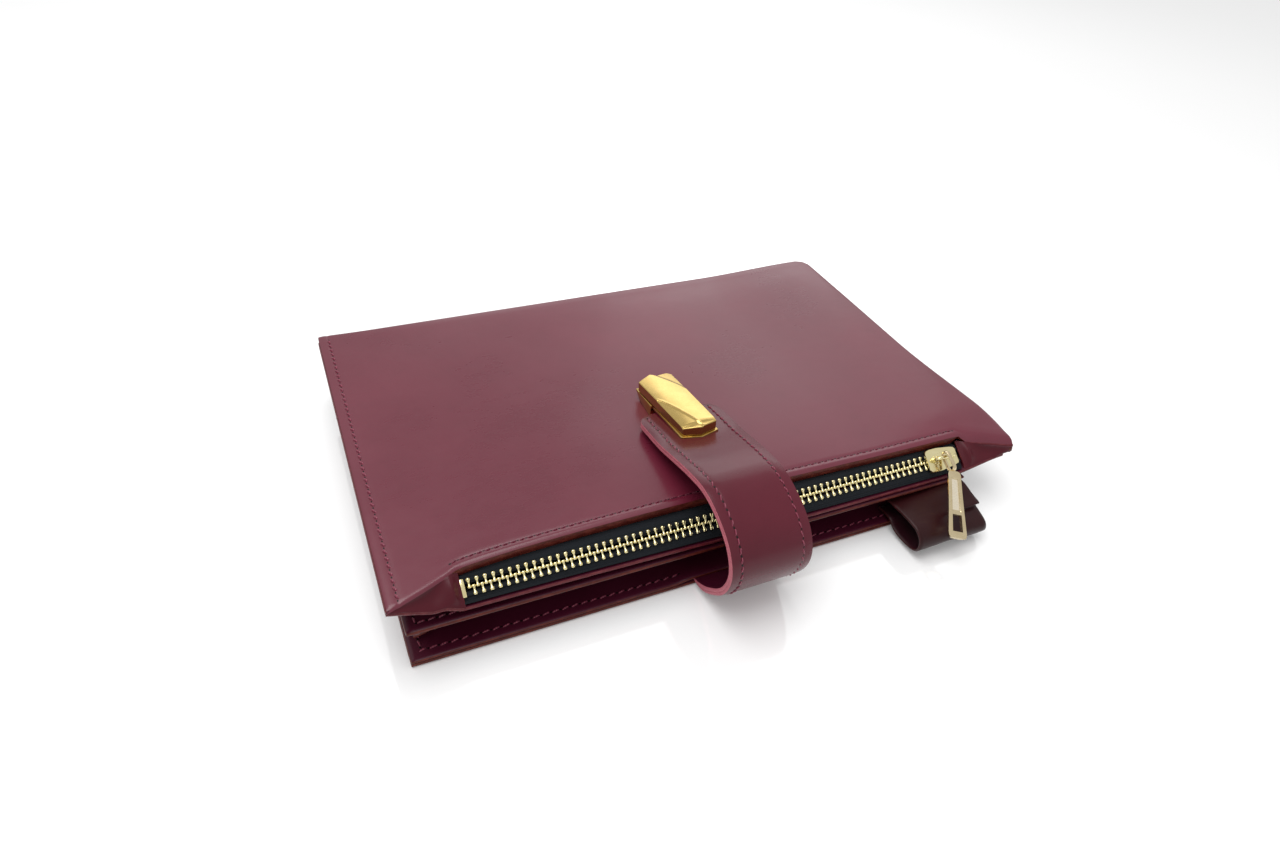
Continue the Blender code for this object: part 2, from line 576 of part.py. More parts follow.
# ---------------------------------------------------------------- clasp
def make_clasp(tongue):
    """The bar on the strap's tip, its frame plate, rivets and washer, and the block it sits on."""
    frame = add_empty("clasp_axis", (STRAP_X, *CLASP_NEAR), CLASP_TILT)
    half, end = CLASP_WIDTH / 2, CLASP_LENGTH
    low = FRAME_THICK + GAP
    cut_left, cut_right = FAR_CORNERS
    outline = [(-half, NEAR_CORNER), (0, -NEAR_POINT), (half, NEAR_CORNER), (half, end - cut_right),
               (half - cut_right, end - 0.5 * MM), (1 * MM, end - FAR_NOTCH), (-1.5 * MM, end),
               (-half, end - cut_left)]
    bar = add_object("clasp_bar", prism("clasp_bar", outline, "Z", low, low + CLASP_THICK), GOLD, frame)
    wide, near = half + FRAME_RIM, NEAR_CORNER - 0.4 * MM
    plate = [(-wide, near), (0, -NEAR_POINT - FRAME_RIM), (wide, near), (wide, FRAME_LENGTH),
             (-wide, FRAME_LENGTH)]
    add_object("clasp_frame", prism("clasp_frame", plate, "Z", 0, FRAME_THICK), GOLD, frame)
    depth = STRAP_INNER + STRAP_OUTER + 3 * GAP
    washer_y = (RIVET_STEPS[0] - 3.5 * MM, RIVET_STEPS[1] + 3 * MM)
    washer = block("clasp_washer", (-5 * MM, 5 * MM), washer_y, (-depth - 1.2 * MM, -depth - 0.6 * MM))
    washer = add_object("clasp_washer", washer, STEEL, frame)
    for number, along in enumerate(RIVET_STEPS, 1):
        name = f"clasp_rivet_{number}"
        rivet = disc(name, RIVET_RADIUS, -depth - 1.4 * MM, -GAP, 12)
        add_object(name, rivet, STEEL, frame, (0, along, 0))
        drill = disc(name + "_hole", RIVET_RADIUS + GAP, -8 * MM, -GAP / 2, 12)
        hole = add_object(name + "_cutter", drill, STEEL, frame, (0, along, 0))
        for leather in (*tongue, washer):
            cut(leather, hole)
    return bar


def bar_pocket(bar):
    """The keeper in the underside of the bar's far end, above the magnet."""
    along = (CATCH_Y - CLASP_NEAR[0]) / math.cos(CLASP_TILT)
    low = FRAME_THICK + GAP
    spot = (0, along, low)
    pocket = disc("clasp_bar_pocket", CATCH_RADIUS + GAP, -MM, 1.6 * MM)
    cut(bar, add_object("clasp_bar_cutter", pocket, GOLD, bar.parent, spot))
    keeper = disc("clasp_keeper", CATCH_RADIUS, 0.2 * MM, 1.3 * MM)
    add_object("clasp_keeper", keeper, STEEL, bar.parent, spot)


def make_clasp_base(bar):
    """The block on the top panel with its magnet, and the screws and plate that hold it."""
    half = CLASP_WIDTH / 2 - 0.7 * MM
    far = BASE_NEAR + BASE_LENGTH
    floor = HEIGHT + GAP

    def under_bar(y):
        """Height of the bar's underside above the point y."""
        along = y - CLASP_NEAR[0]
        lift = FRAME_THICK + GAP
        return CLASP_NEAR[1] + (along - lift * math.sin(-CLASP_TILT)) * math.tan(CLASP_TILT) + lift - GAP

    outline = [(BASE_NEAR, floor), (far - BASE_SLANT, floor), (far, under_bar(far)),
               (BASE_NEAR, under_bar(BASE_NEAR))]
    block_mesh = prism("clasp_base", outline, "X", -half, half)
    base = add_object("clasp_base", block_mesh, GOLD, location=(STRAP_X, 0, 0))
    bar_pocket(bar)
    for number, side in enumerate((-1, 1), 1):
        name = f"base_screw_{number}"
        spot = (STRAP_X + side * SCREW_OFFSET, BASE_NEAR + 2.6 * MM, HEIGHT)
        low = -LEATHER - GAP - BOARD
        add_object(name, disc(name, SCREW_RADIUS, low, 1.6 * MM, 12), STEEL, location=spot)
        drill = disc(name + "_hole", SCREW_RADIUS + GAP, low - MM, 1.9 * MM, 12)
        hole = add_object(name + "_cutter", drill, STEEL, location=spot)
        for piece in ("clasp_base", "pouch_top_panel", "clasp_back_plate"):
            cut(bpy.data.objects[piece], hole)
    top = under_bar(CATCH_Y)
    spot = (STRAP_X, CATCH_Y, top)
    pocket = disc("clasp_base_pocket", CATCH_RADIUS + GAP, -2.3 * MM, 2 * MM)
    cut(base, add_object("clasp_base_cutter", pocket, GOLD, location=spot))
    add_object("clasp_magnet", disc("clasp_magnet", CATCH_RADIUS, -2.0 * MM, -0.7 * MM), STEEL, location=spot)


make_rear_cover()
make_rear_layers()
make_gussets()
make_ear()
make_pouch_top()
make_pouch_floor()
make_pouch_inside()
make_end_tabs()
make_zip_rows()
make_pull(*make_slider())
CLASP_BAR = make_clasp(make_strap())
make_clasp_base(CLASP_BAR)
bevel(CLASP_BAR, 0.5 * MM)
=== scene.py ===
"""Looks of the leather folio: leather shells, stitches, zip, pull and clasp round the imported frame.

Lengths are in millimetres until a mesh is made. x runs along the zip, y goes from the line through
the pouch's two front corners to the folded back, and z is height above the surface it lies on.
"""
import json
import math
import random

import bpy
import numpy as np
from mathutils import Matrix, Vector


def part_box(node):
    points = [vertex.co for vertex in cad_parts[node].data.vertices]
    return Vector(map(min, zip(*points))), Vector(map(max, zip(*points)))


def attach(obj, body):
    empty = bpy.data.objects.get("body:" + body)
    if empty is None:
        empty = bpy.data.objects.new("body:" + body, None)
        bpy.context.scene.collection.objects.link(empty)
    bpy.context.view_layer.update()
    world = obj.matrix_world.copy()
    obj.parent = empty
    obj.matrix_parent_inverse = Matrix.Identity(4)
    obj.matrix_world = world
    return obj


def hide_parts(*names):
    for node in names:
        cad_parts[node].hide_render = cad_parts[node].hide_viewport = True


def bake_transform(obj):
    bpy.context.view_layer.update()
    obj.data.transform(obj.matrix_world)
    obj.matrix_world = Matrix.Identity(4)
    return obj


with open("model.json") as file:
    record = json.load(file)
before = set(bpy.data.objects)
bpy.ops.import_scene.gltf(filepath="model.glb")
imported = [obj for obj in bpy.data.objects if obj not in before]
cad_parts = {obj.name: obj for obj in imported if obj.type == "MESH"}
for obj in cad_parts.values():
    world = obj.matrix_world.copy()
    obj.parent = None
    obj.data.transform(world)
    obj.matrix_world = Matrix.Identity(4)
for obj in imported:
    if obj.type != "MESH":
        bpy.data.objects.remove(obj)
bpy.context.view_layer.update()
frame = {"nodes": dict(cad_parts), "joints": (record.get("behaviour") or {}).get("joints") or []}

MM = 0.001


def node_box(node):
    """Lowest and highest corners of a CAD node, in millimetres and in this script's frame."""
    low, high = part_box(node)
    return np.array(low) / MM - ORIGIN, np.array(high) / MM - ORIGIN


# The frame: where the CAD parts are
ORIGIN = np.array((0.0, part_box("pouch_top_panel")[0].y / MM - 0.2, 0.0))
PANEL_LOW, PANEL_HIGH = node_box("pouch_top_panel")
LEFT, RIGHT = PANEL_LOW[0], PANEL_HIGH[0]
BACK, TOP = PANEL_HIGH[1], PANEL_HIGH[2]
REAR_LOW, REAR_HIGH = node_box("rear_cover")
ANCHOR_LOW, ANCHOR_HIGH = node_box("strap_anchor")
EAR_LOW, EAR_HIGH = node_box("right_ear")
TAPE_LOW, TAPE_HIGH = node_box("zip_tape_upper")
LEATHER = 1.6
POUCH_DEPTH = 13.3
FLOOR_TOP = TOP - POUCH_DEPTH + LEATHER
TAPE_INSET = 0.8
ZIP_LEFT, ZIP_RIGHT = TAPE_LOW[0] - TAPE_INSET, TAPE_HIGH[0] + TAPE_INSET
FOLD_RADIUS = 2.4
CORNER_RADIUS = 8.0
THREAD_RADIUS = 0.34
STITCH_PITCH = 3.5
SEAM_INSET = 4.2       # left seam's stitches from the left edge
CUT_INSET = 3.9        # upper zip stitches from the cut edge
UP = (0, 0, 1)


# ---------------------------------------------------------------- materials
class Shader:
    """A Principled material and short ways to wire procedural nodes into it."""

    def __init__(self, name, colour, roughness, metallic=0.0, **constants):
        self.material = bpy.data.materials.new(name)
        self.material.use_nodes = True
        self.nodes = self.material.node_tree.nodes
        self.links = self.material.node_tree.links
        self.shader = self.nodes["Principled BSDF"]
        self.shader.inputs["Base Color"].default_value = (*colour, 1)
        self.shader.inputs["Roughness"].default_value = roughness
        self.shader.inputs["Metallic"].default_value = metallic
        for key, value in constants.items():
            self.shader.inputs[key.replace("_", " ")].default_value = value
        self.place = self.nodes.new("ShaderNodeTexCoord").outputs["Object"]

    def node(self, kind, values=None, **inputs):
        """A new node: settings in values, linked or plain inputs by name or number (i0, i1)."""
        made = self.nodes.new(kind)
        for key, value in (values or {}).items():
            setattr(made, key, value)
        for key, value in inputs.items():
            socket = made.inputs[int(key[1:]) if key[1:].isdigit() else key]
            if isinstance(value, bpy.types.NodeSocket):
                self.links.new(value, socket)
            else:
                socket.default_value = value
        return made

    def noise(self, scale, detail=3.0, roughness=0.5, stretch=(1, 1, 1)):
        """Noise whose scale is in features per metre, stretched along the axes."""
        spread = self.node("ShaderNodeMapping", Vector=self.place, Scale=stretch)
        made = self.node("ShaderNodeTexNoise", Vector=spread.outputs[0], Scale=scale, Detail=detail,
                         Roughness=roughness)
        return made.outputs["Fac"]

    def cells(self, scale):
        """Distance to the edges of cells whose number per metre is the scale."""
        made = self.node("ShaderNodeTexVoronoi", {"feature": "DISTANCE_TO_EDGE"}, Vector=self.place,
                         Scale=scale)
        return made.outputs["Distance"]

    def ramp(self, value, low, high, to_low, to_high):
        """Value from low..high spread over to_low..to_high, clamped."""
        limits = {"From Min": low, "From Max": high, "To Min": to_low, "To Max": to_high}
        return self.node("ShaderNodeMapRange", Value=value, **limits).outputs["Result"]

    def mix(self, factor, first, second):
        """A blend of two colours, each a socket or a plain colour."""
        first, second = (colour if isinstance(colour, bpy.types.NodeSocket) else (*colour, 1)
                         for colour in (first, second))
        made = self.node("ShaderNodeMix", {"data_type": "RGBA"}, i0=factor, i6=first, i7=second)
        return made.outputs[2]

    def maths(self, operation, first, second):
        return self.node("ShaderNodeMath", {"operation": operation}, i0=first, i1=second).outputs[0]

    def drive(self, key, socket):
        self.links.new(socket, self.shader.inputs[key])

    def bump(self, *layers):
        """Stacks bump layers, each a height, a strength and a depth in millimetres."""
        normal = None
        for height, strength, depth in layers:
            made = self.node("ShaderNodeBump", Height=height, Strength=strength,
                             Distance=depth * MM)
            if normal is not None:
                self.links.new(normal, made.inputs["Normal"])
            normal = made.outputs["Normal"]
        self.links.new(normal, self.shader.inputs["Normal"])


def smooth_leather(name, colour, deep, roughness, shine=0.5, glaze=0.18):
    """Glazed calf leather: fine pores, soft cloudy colour and a slightly uneven polish."""
    s = Shader(name, colour, roughness, Coat_Weight=glaze, Coat_Roughness=0.12, IOR=1.5,
               Specular_IOR_Level=shine)
    cloud = s.noise(14, 4, 0.55)
    mottle = s.noise(160, 5, 0.6)
    tone = s.mix(s.ramp(cloud, 0.35, 0.7, 0, 1), colour, deep)
    darker = tuple(0.72 * c for c in colour)
    s.drive("Base Color", s.mix(s.ramp(mottle, 0.5, 0.78, 0, 0.18), tone, darker))
    rub = s.ramp(s.noise(120, 4, 0.6, (1, 2, 1)), 0.35, 0.75, -0.02, 0.03)
    polish = s.ramp(cloud, 0.3, 0.75, roughness - 0.04, roughness + 0.05)
    s.drive("Roughness", s.maths("ADD", polish, rub))
    pores = s.ramp(s.cells(1500), 0.0, 0.14, 0, 1)
    s.bump((s.noise(55, 3, 0.5), 0.16, 0.5), (pores, 0.05, 0.03),
           (s.noise(2600, 3, 0.6), 0.04, 0.03))
    return s.material


def raw_leather(name, colour, pale):
    """The cut edge or the flesh side: short fibres and small pale flecks."""
    s = Shader(name, colour, 0.62, IOR=1.45)
    fibre = s.noise(700, 6, 0.7, (1, 1, 4))
    s.drive("Base Color", s.mix(s.ramp(fibre, 0.35, 0.7, 0, 1), colour, pale))
    s.bump((fibre, 0.45, 0.12), (s.noise(2400, 4, 0.6), 0.3, 0.05))
    return s.material


def painted_edge(name, colour, worn):
    """A cut edge sealed with dark edge paint, slightly uneven and rubbed."""
    s = Shader(name, colour, 0.34, IOR=1.5, Specular_IOR_Level=0.25)
    rub = s.noise(260, 5, 0.65, (1, 3, 3))
    s.drive("Base Color", s.mix(s.ramp(rub, 0.46, 0.72, 0, 1), colour, worn))
    s.drive("Roughness", s.ramp(rub, 0.3, 0.7, 0.28, 0.46))
    s.bump((s.noise(420, 4, 0.6), 0.3, 0.15))
    return s.material


def waxed_thread(name, colour, pale):
    """Waxed sewing thread, its twist drawn as slanting ridges."""
    s = Shader(name, colour, 0.48, IOR=1.48, Sheen_Weight=0.2, Sheen_Roughness=0.4)
    turned = s.node("ShaderNodeMapping", Vector=s.place, Rotation=(0.5, 0.4, 0.7))
    twist = s.node("ShaderNodeTexWave", Vector=turned.outputs[0], Scale=520.0,
                   Distortion=0.6).outputs["Fac"]
    s.drive("Base Color", s.mix(s.ramp(twist, 0.3, 0.8, 0, 1), colour, pale))
    s.bump((twist, 0.5, 0.08))
    return s.material


def woven_cloth(name, colour, pale, pitch):
    """Plain weave from two crossed waves, with a pitch in millimetres."""
    s = Shader(name, colour, 0.72, IOR=1.45, Specular_IOR_Level=0.25, Sheen_Weight=0.04,
               Sheen_Roughness=0.5)
    scale = 1 / (pitch * MM) / 2
    warp, weft = (s.node("ShaderNodeTexWave", {"bands_direction": axis}, Vector=s.place,
                         Scale=scale).outputs["Fac"] for axis in "XY")
    weave = s.maths("MULTIPLY", warp, weft)
    s.drive("Base Color", s.mix(s.ramp(weave, 0.2, 0.9, 0, 1), colour, pale))
    s.bump((weave, 0.55, 0.12), (s.noise(1800, 4, 0.6), 0.3, 0.05))
    return s.material


def plated_metal(name, colour, tint, roughness, scratch=0.5):
    """Plated metal with faint polishing lines and a little tarnish in the colour."""
    s = Shader(name, colour, roughness, 1.0)
    tarnish = s.noise(180, 4, 0.6)
    s.drive("Base Color", s.mix(s.ramp(tarnish, 0.4, 0.75, 0, 1), colour, tint))
    lines = s.noise(900, 3, 0.6, (1, 10, 1))
    s.drive("Roughness", s.ramp(lines, 0.3, 0.8, roughness * 0.75, roughness * 1.5))
    s.bump((lines, 0.03 * scratch, 0.01))
    return s.material


def pressed_board(name, colour, pale):
    """Grey stiffening board with flecks of fibre."""
    s = Shader(name, colour, 0.85)
    fleck = s.noise(900, 6, 0.75)
    s.drive("Base Color", s.mix(s.ramp(fleck, 0.4, 0.7, 0, 1), colour, pale))
    s.bump((fleck, 0.4, 0.1))
    return s.material


WINE = smooth_leather("wine_leather", (0.112, 0.0095, 0.024), (0.135, 0.014, 0.031), 0.30)
WINE_STRAP = smooth_leather("wine_strap_leather", (0.082, 0.006, 0.015), (0.104, 0.009, 0.021),
    0.25, 0.28, 0.08)
# painted shade: the inner, lining and underside leathers are a darkened copy of the wine leather,
# standing in for the shade inside the pouch and under the strap
WINE_INSIDE_SHADED = smooth_leather("wine_inner_leather_painted_shade", (0.050, 0.003, 0.013), (0.066, 0.005, 0.018),
    0.42, 0.3, 0.05)
# painted shade: a near-black copy of the wine leather for faces deep in the pouch, the gussets and
# the ear's back, where shade falls
WINE_DEEP_SHADE = smooth_leather("wine_leather_painted_deep_shade", (0.016, 0.0012, 0.0035), (0.024, 0.002, 0.006),
    0.5, 0.2, 0.0)
# painted shade: the ear's leather is the wine leather darkened almost to black, with little shine,
# for the shadow the ear sits in
WINE_EAR_SHADED = smooth_leather("wine_ear_leather_painted_shade", (0.017, 0.0025, 0.003), (0.026, 0.004, 0.005),
    0.32, 0.2, 0.0)
# painted shade: the end tabs use a darkened copy of the wine leather for the shade on their concave
# facets below the ridge
WINE_TAB_SHADED = smooth_leather("wine_tab_leather_painted_shade", (0.062, 0.004, 0.010), (0.080, 0.007, 0.014),
    0.36, 0.2, 0.03)
PINK = raw_leather("raw_pink_edge", (0.36, 0.075, 0.11), (0.50, 0.15, 0.18))
PINK_BACK = raw_leather("raw_pink_back", (0.17, 0.028, 0.045), (0.25, 0.055, 0.075))
EDGE_PAINT = painted_edge("brown_edge_paint", (0.070, 0.009, 0.006), (0.15, 0.026, 0.016))
LIP_PAINT = painted_edge("red_edge_paint", (0.095, 0.011, 0.016), (0.17, 0.035, 0.04))
THREAD = waxed_thread("wine_thread", (0.13, 0.012, 0.033), (0.27, 0.045, 0.08))
THREAD_DARK = waxed_thread("dark_wine_thread", (0.085, 0.007, 0.020), (0.16, 0.018, 0.042))
# painted shade: the ear's edge paint is darkened for the shadow the ear sits in
EAR_EDGE_SHADED = painted_edge("ear_edge_paint_painted_shade", (0.026, 0.004, 0.005), (0.055, 0.009, 0.011))
HOLE = painted_edge("needle_hole", (0.010, 0.002, 0.003), (0.020, 0.004, 0.005))
TAPE = woven_cloth("black_zip_tape", (0.0018, 0.0026, 0.0045), (0.010, 0.017, 0.026), 0.55)
LINING = woven_cloth("black_lining", (0.006, 0.006, 0.008), (0.022, 0.022, 0.028), 0.35)
BRASS = plated_metal("pale_gold_plate", (0.82, 0.72, 0.38), (0.88, 0.79, 0.48), 0.18)
PULL_METAL = plated_metal("pull_gold_plate", (0.66, 0.54, 0.33), (0.74, 0.62, 0.40), 0.22)
PULL_SUNK = plated_metal("pull_sunk_plate", (0.90, 0.80, 0.62), (0.95, 0.87, 0.70), 0.30)
GOLD = plated_metal("rich_gold_plate", (0.56, 0.39, 0.125), (0.61, 0.435, 0.15), 0.14, 0.3)
STEEL = plated_metal("nickel_plate", (0.55, 0.54, 0.52), (0.65, 0.63, 0.60), 0.28)
BOARD = pressed_board("grey_board", (0.20, 0.18, 0.16), (0.34, 0.31, 0.27))


# ---------------------------------------------------------------- mesh tools
def smoothstep(value):
    value = np.clip(value, 0.0, 1.0)
    return value * value * (3 - 2 * value)


def bell(distance, width):
    """1 at no distance, fading over a width."""
    return np.exp(-(distance / width) ** 2)


def unit(vectors):
    length = np.linalg.norm(vectors, axis=-1, keepdims=True)
    return vectors / np.maximum(length, 1e-9)


class Build:
    """Points and faces of one piece, each face with one of the piece's materials."""

    def __init__(self, *materials):
        self.materials = materials
        self.points, self.faces, self.slots = [], [], []

    def add(self, points, faces, slots):
        base = len(self.points)
        self.points.extend(map(tuple, np.asarray(points, float).reshape(-1, 3)))
        self.faces.extend(tuple(base + index for index in face) for face in faces)
        self.slots.extend([slots] * len(faces) if isinstance(slots, int) else slots)

    def piece(self, name, replaced=None, slot="burgundy_leather", body="folio", sharp=50):
        """Makes the object in place of a CAD node; without a body it is left unattached."""
        mesh = bpy.data.meshes.new(name)
        points = (np.array(self.points) + ORIGIN) * MM
        mesh.from_pydata([tuple(p) for p in points], [], self.faces)
        for material in self.materials:
            mesh.materials.append(material)
        mesh.polygons.foreach_set("material_index", self.slots)
        mesh.validate()
        mesh.shade_smooth()
        mesh.set_sharp_from_angle(angle=math.radians(sharp))
        made = bpy.data.objects.new(name, mesh)
        bpy.context.scene.collection.objects.link(made)
        if replaced:
            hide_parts(replaced)
        if body:
            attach(made, body)
        return made


def circle(sides, phase=0.0):
    """Cosine and sine at even steps round a circle."""
    angles = [math.tau * (k + phase) / sides for k in range(sides)]
    return [(math.cos(a), math.sin(a)) for a in angles]


def grid_quads(index):
    """Faces between the neighbouring points of a grid of point numbers."""
    corners = (index[:-1, :-1], index[1:, :-1], index[1:, 1:], index[:-1, 1:])
    return [tuple(quad) for quad in np.stack(corners, -1).reshape(-1, 4).tolist()]


def grid_border(rows, columns):
    """Places of a grid's border points, in order round it."""
    loop = [(0, j) for j in range(columns)] + [(i, columns - 1) for i in range(1, rows)]
    loop += [(rows - 1, j) for j in range(columns - 2, -1, -1)]
    loop += [(i, 0) for i in range(rows - 2, 0, -1)]
    return tuple(np.array(loop).T)


def sheet_normals(grid):
    return unit(np.cross(np.gradient(grid, axis=0), np.gradient(grid, axis=1)))


def slab(build, grid, thick, slots=(0, 1, 2), flip=False, rim=4, bulge=0.3, normals=None):
    """A leather: its face on the grid, its back a thickness behind it, and a rounded cut edge."""
    grid = np.asarray(grid, float)
    rows, columns = grid.shape[:2]
    if normals is None:
        normals = sheet_normals(grid) * (-1 if flip else 1)
    depth = np.broadcast_to(np.asarray(thick, float), (rows, columns))[..., None]
    under = grid - normals * depth
    count = rows * columns
    index = np.arange(count).reshape(rows, columns)
    face = grid_quads(index)
    back = [tuple(count + v for v in reversed(quad)) for quad in face]
    at = grid_border(rows, columns)
    around = len(at[0])
    out = np.zeros((rows, columns, 3))
    out[0] += unit(grid[0] - grid[1])
    out[-1] += unit(grid[-1] - grid[-2])
    out[:, 0] += unit(grid[:, 0] - grid[:, 1])
    out[:, -1] += unit(grid[:, -1] - grid[:, -2])
    out = unit(out)
    rings = [index[at]]
    points = [grid.reshape(-1, 3), under.reshape(-1, 3)]
    for k in range(1, rim):
        s = k / rim
        swell = out[at] * depth[at] * bulge * math.sin(math.pi * s)
        points.append(grid[at] * (1 - s) + under[at] * s + swell)
        rings.append(2 * count + (k - 1) * around + np.arange(around))
    rings.append(count + index[at])
    edge = []
    for upper, lower in zip(rings, rings[1:]):
        edge += zip(upper, np.roll(upper, -1), np.roll(lower, -1), lower)
    faces = face + back + edge
    if flip:
        faces = [tuple(reversed(quad)) for quad in faces]
    kinds = [slots[0]] * len(face) + [slots[1]] * len(back) + [slots[2]] * len(edge)
    build.add(np.concatenate(points), [tuple(int(v) for v in quad) for quad in faces], kinds)


def loft(build, rings, slot=0, closed=False):
    """Joins rings of points into a tube with capped ends, or into a closed ring of rings."""
    rings = np.asarray(rings, float)
    count, sides = rings.shape[:2]
    faces = []
    for k in range(count if closed else count - 1):
        a, b = k * sides, (k + 1) % count * sides
        faces += [(a + n, a + (n + 1) % sides, b + (n + 1) % sides, b + n) for n in range(sides)]
    if not closed:
        faces += [tuple(range(sides - 1, -1, -1)), tuple(range((count - 1) * sides, count * sides))]
    build.add(rings.reshape(-1, 3), faces, slot)


def sweep(build, path, radii, sides=10, across=(0, 0, 1), closed=False):
    """A tube along a path; radii is one radius, or half widths along and square to across."""
    path = np.asarray(path, float)
    if closed:
        heading = unit(np.roll(path, -1, 0) - np.roll(path, 1, 0))
    else:
        heading = unit(np.gradient(path, axis=0))
    side = np.broadcast_to(np.array(across, float), path.shape)
    side = unit(side - heading * (side * heading).sum(-1, keepdims=True))
    other = np.cross(heading, side)
    radii = np.broadcast_to(np.atleast_2d(np.asarray(radii, float)), (len(path), 2))
    rings = [[p + wide * c * u + high * s * v for c, s in circle(sides)]
             for p, u, v, (wide, high) in zip(path, side, other, radii)]
    loft(build, rings, closed=closed)


def inset(outline, distance):
    """Moves a counter-clockwise outline inwards."""
    outline = np.asarray(outline, float)
    before, after = unit(outline - np.roll(outline, 1, 0)), unit(np.roll(outline, -1, 0) - outline)
    normal = unit(np.stack((-(before + after)[:, 1], (before + after)[:, 0]), 1))
    lean = (normal * np.stack((-after[:, 1], after[:, 0]), 1)).sum(1, keepdims=True)
    return outline + normal * distance / np.maximum(lean, 0.5)


def prism(build, outline, low, high, place, soft=0.25):
    """A plate with rounded edges: an outline from low to high, put in place by a function."""
    levels = [(low, 1.0), (low + 0.3 * soft, 0.3), (low + soft, 0.0),
              (high - soft, 0.0), (high - 0.3 * soft, 0.3), (high, 1.0)]
    loft(build, [[place(u, v, w) for u, v in inset(outline, soft * share)] for w, share in levels])


def spline(points, steps):
    """A Catmull-Rom curve through points of any dimension."""
    points = np.asarray(points, float)
    ends = np.vstack((2 * points[0] - points[1], points, 2 * points[-1] - points[-2]))
    made = []
    for before, start, end, after in zip(ends, ends[1:], ends[2:], ends[3:]):
        for k in range(steps):
            t = k / steps
            square = (2 * before - 5 * start + 4 * end - after) * t * t
            cube = (3 * start - before - 3 * end + after) * t ** 3
            made.append(0.5 * (2 * start + (end - before) * t + square + cube))
    made.append(points[-1])
    return np.array(made)


def stitch_row(build, path, normals, pitch=STITCH_PITCH, radius=THREAD_RADIUS, slant=0.22,
               rise=0.16, seed=1):
    """Thread loops (slot 0) that dip into needle holes (slot 1) a pitch apart along a path."""
    path = np.asarray(path, float)
    normals = np.broadcast_to(unit(np.asarray(normals, float)), path.shape)
    walked = np.concatenate(([0], np.cumsum(np.linalg.norm(np.diff(path, axis=0), axis=1))))
    count = int(walked[-1] / pitch)
    step = walked[-1] / count
    chance = random.Random(seed)

    def at(distance, table):
        return np.array([np.interp(distance, walked, table[:, k]) for k in range(3)])

    def axes(distance):
        """The place on the path, and its directions up, along and aside."""
        up = unit(at(distance, normals))
        along = unit(at(min(distance + 0.4, walked[-1]), path) - at(max(distance - 0.4, 0), path))
        return at(distance, path), up, along, np.cross(up, along)

    for k in range(count):
        spot, up, along, aside = axes((k + 0.5) * step)
        turn = slant + chance.uniform(-0.08, 0.08)
        lead = along * math.cos(turn) + aside * math.sin(turn)
        wide = np.cross(up, lead)
        half, rings = 0.37 * step, []
        for t in (-1.0, -0.8, -0.45, 0.0, 0.45, 0.8, 1.0):
            size = radius * math.sqrt(max(1 - 0.75 * t * t, 0.04))
            height = rise - 0.42 * t * t * t * t + chance.uniform(-0.02, 0.02)
            centre = spot + lead * half * t + up * height
            rings.append([centre + size * (c * wide + s * up) for c, s in circle(6)])
        loft(build, rings)
    for k in range(count + 1):
        spot, up, along, aside = axes(k * step)
        loft(build, [[spot + up * lift + size * (c * along + 0.8 * s * aside) for c, s in circle(8)]
                     for size, lift in ((0.46, -0.25), (0.5, 0.02), (0.36, 0.05))], 1)


# ---------------------------------------------------------------- the pouch's two leathers
FOLD_FLAT = CORNER_RADIUS - FOLD_RADIUS
FOLD_ARC = FOLD_RADIUS * math.pi / 2
SKIRT = TOP - FOLD_RADIUS - PANEL_LOW[2]
FOLD_LENGTH = FOLD_FLAT + FOLD_ARC + SKIRT
TAB_THICK = 1.3


def front_line(x):
    """y of the top leather's front: the ridges of the end tabs and the cut edge between."""
    t = np.clip((x - ZIP_LEFT) / (ZIP_RIGHT - ZIP_LEFT), 0, 1)
    cut = 10.5 + 0.9 * t + 3.1 * np.sin(math.pi * t ** 0.6)
    left = 0.3 + (cut - 0.3) * smoothed_ramp((x - LEFT) / (ZIP_LEFT - LEFT))
    right = 0.3 + (cut - 0.3) * smoothed_ramp((RIGHT - x) / (RIGHT - ZIP_RIGHT))
    return np.where(x < ZIP_LEFT, left, np.where(x > ZIP_RIGHT, right, cut))[()]


def smoothed_ramp(t):
    """Rises from 0 to 1 almost straight."""
    t = np.clip(t, 0, 1)
    return 0.8 * t + 0.2 * t * t


def pinch(y):
    """How far the pouch's right side has closed up towards its front corner: 1 at the corner."""
    return 1 - smoothstep(y / 48)


def side_bulge(x, y):
    """How far the right side stands out past its straight line, most near the front corner."""
    along = smoothstep((y + 12) / 27) * (1 - smoothstep((y - 12) / 70))
    return 3.6 * (smoothstep((x - RIGHT + 50) / 50) * along)


def top_height(x, y):
    """The top leather's soft waves, sewn groove on the left and burnished roll at the cut edge."""
    wave = 0.2 + 0.42 * np.sin(x / 38 + y / 61 + 0.7) * np.sin(y / 43 - x / 95 + 0.4)
    wave += 0.22 * np.sin(x / 19 - y / 31 + 1.1) * np.sin(y / 27 + x / 120)
    inland = smoothstep(np.minimum(np.minimum(x - LEFT, RIGHT - x), np.minimum(y, BACK - y)) / 30)
    around_clasp = np.exp(-(((x + 1) / 30) ** 2 + ((y - 74) / 26) ** 2))
    from_left = x - LEFT
    groove = 0.22 * bell(from_left - SEAM_INSET, 0.7) + 0.45 * np.exp(-from_left / 1.1)
    from_cut = np.maximum(y - front_line(x), 0)
    zip_part = smoothstep((x - ZIP_LEFT + 3) / 4) * smoothstep((ZIP_RIGHT + 3 - x) / 4)
    roll = 0.34 * bell(from_cut - 1.9, 1.1) - 0.20 * bell(from_cut - CUT_INSET, 0.6)
    roll -= 0.3 * np.exp(-from_cut / 0.45)
    swell = 1.7 * smoothstep((x - RIGHT + 70) / 62) * smoothstep((y - 6) / 22)
    swell = swell + 0.7 * smoothstep((y - 60) / 100)
    return TOP + wave * inland * (1 - around_clasp) - groove + roll * zip_part + swell


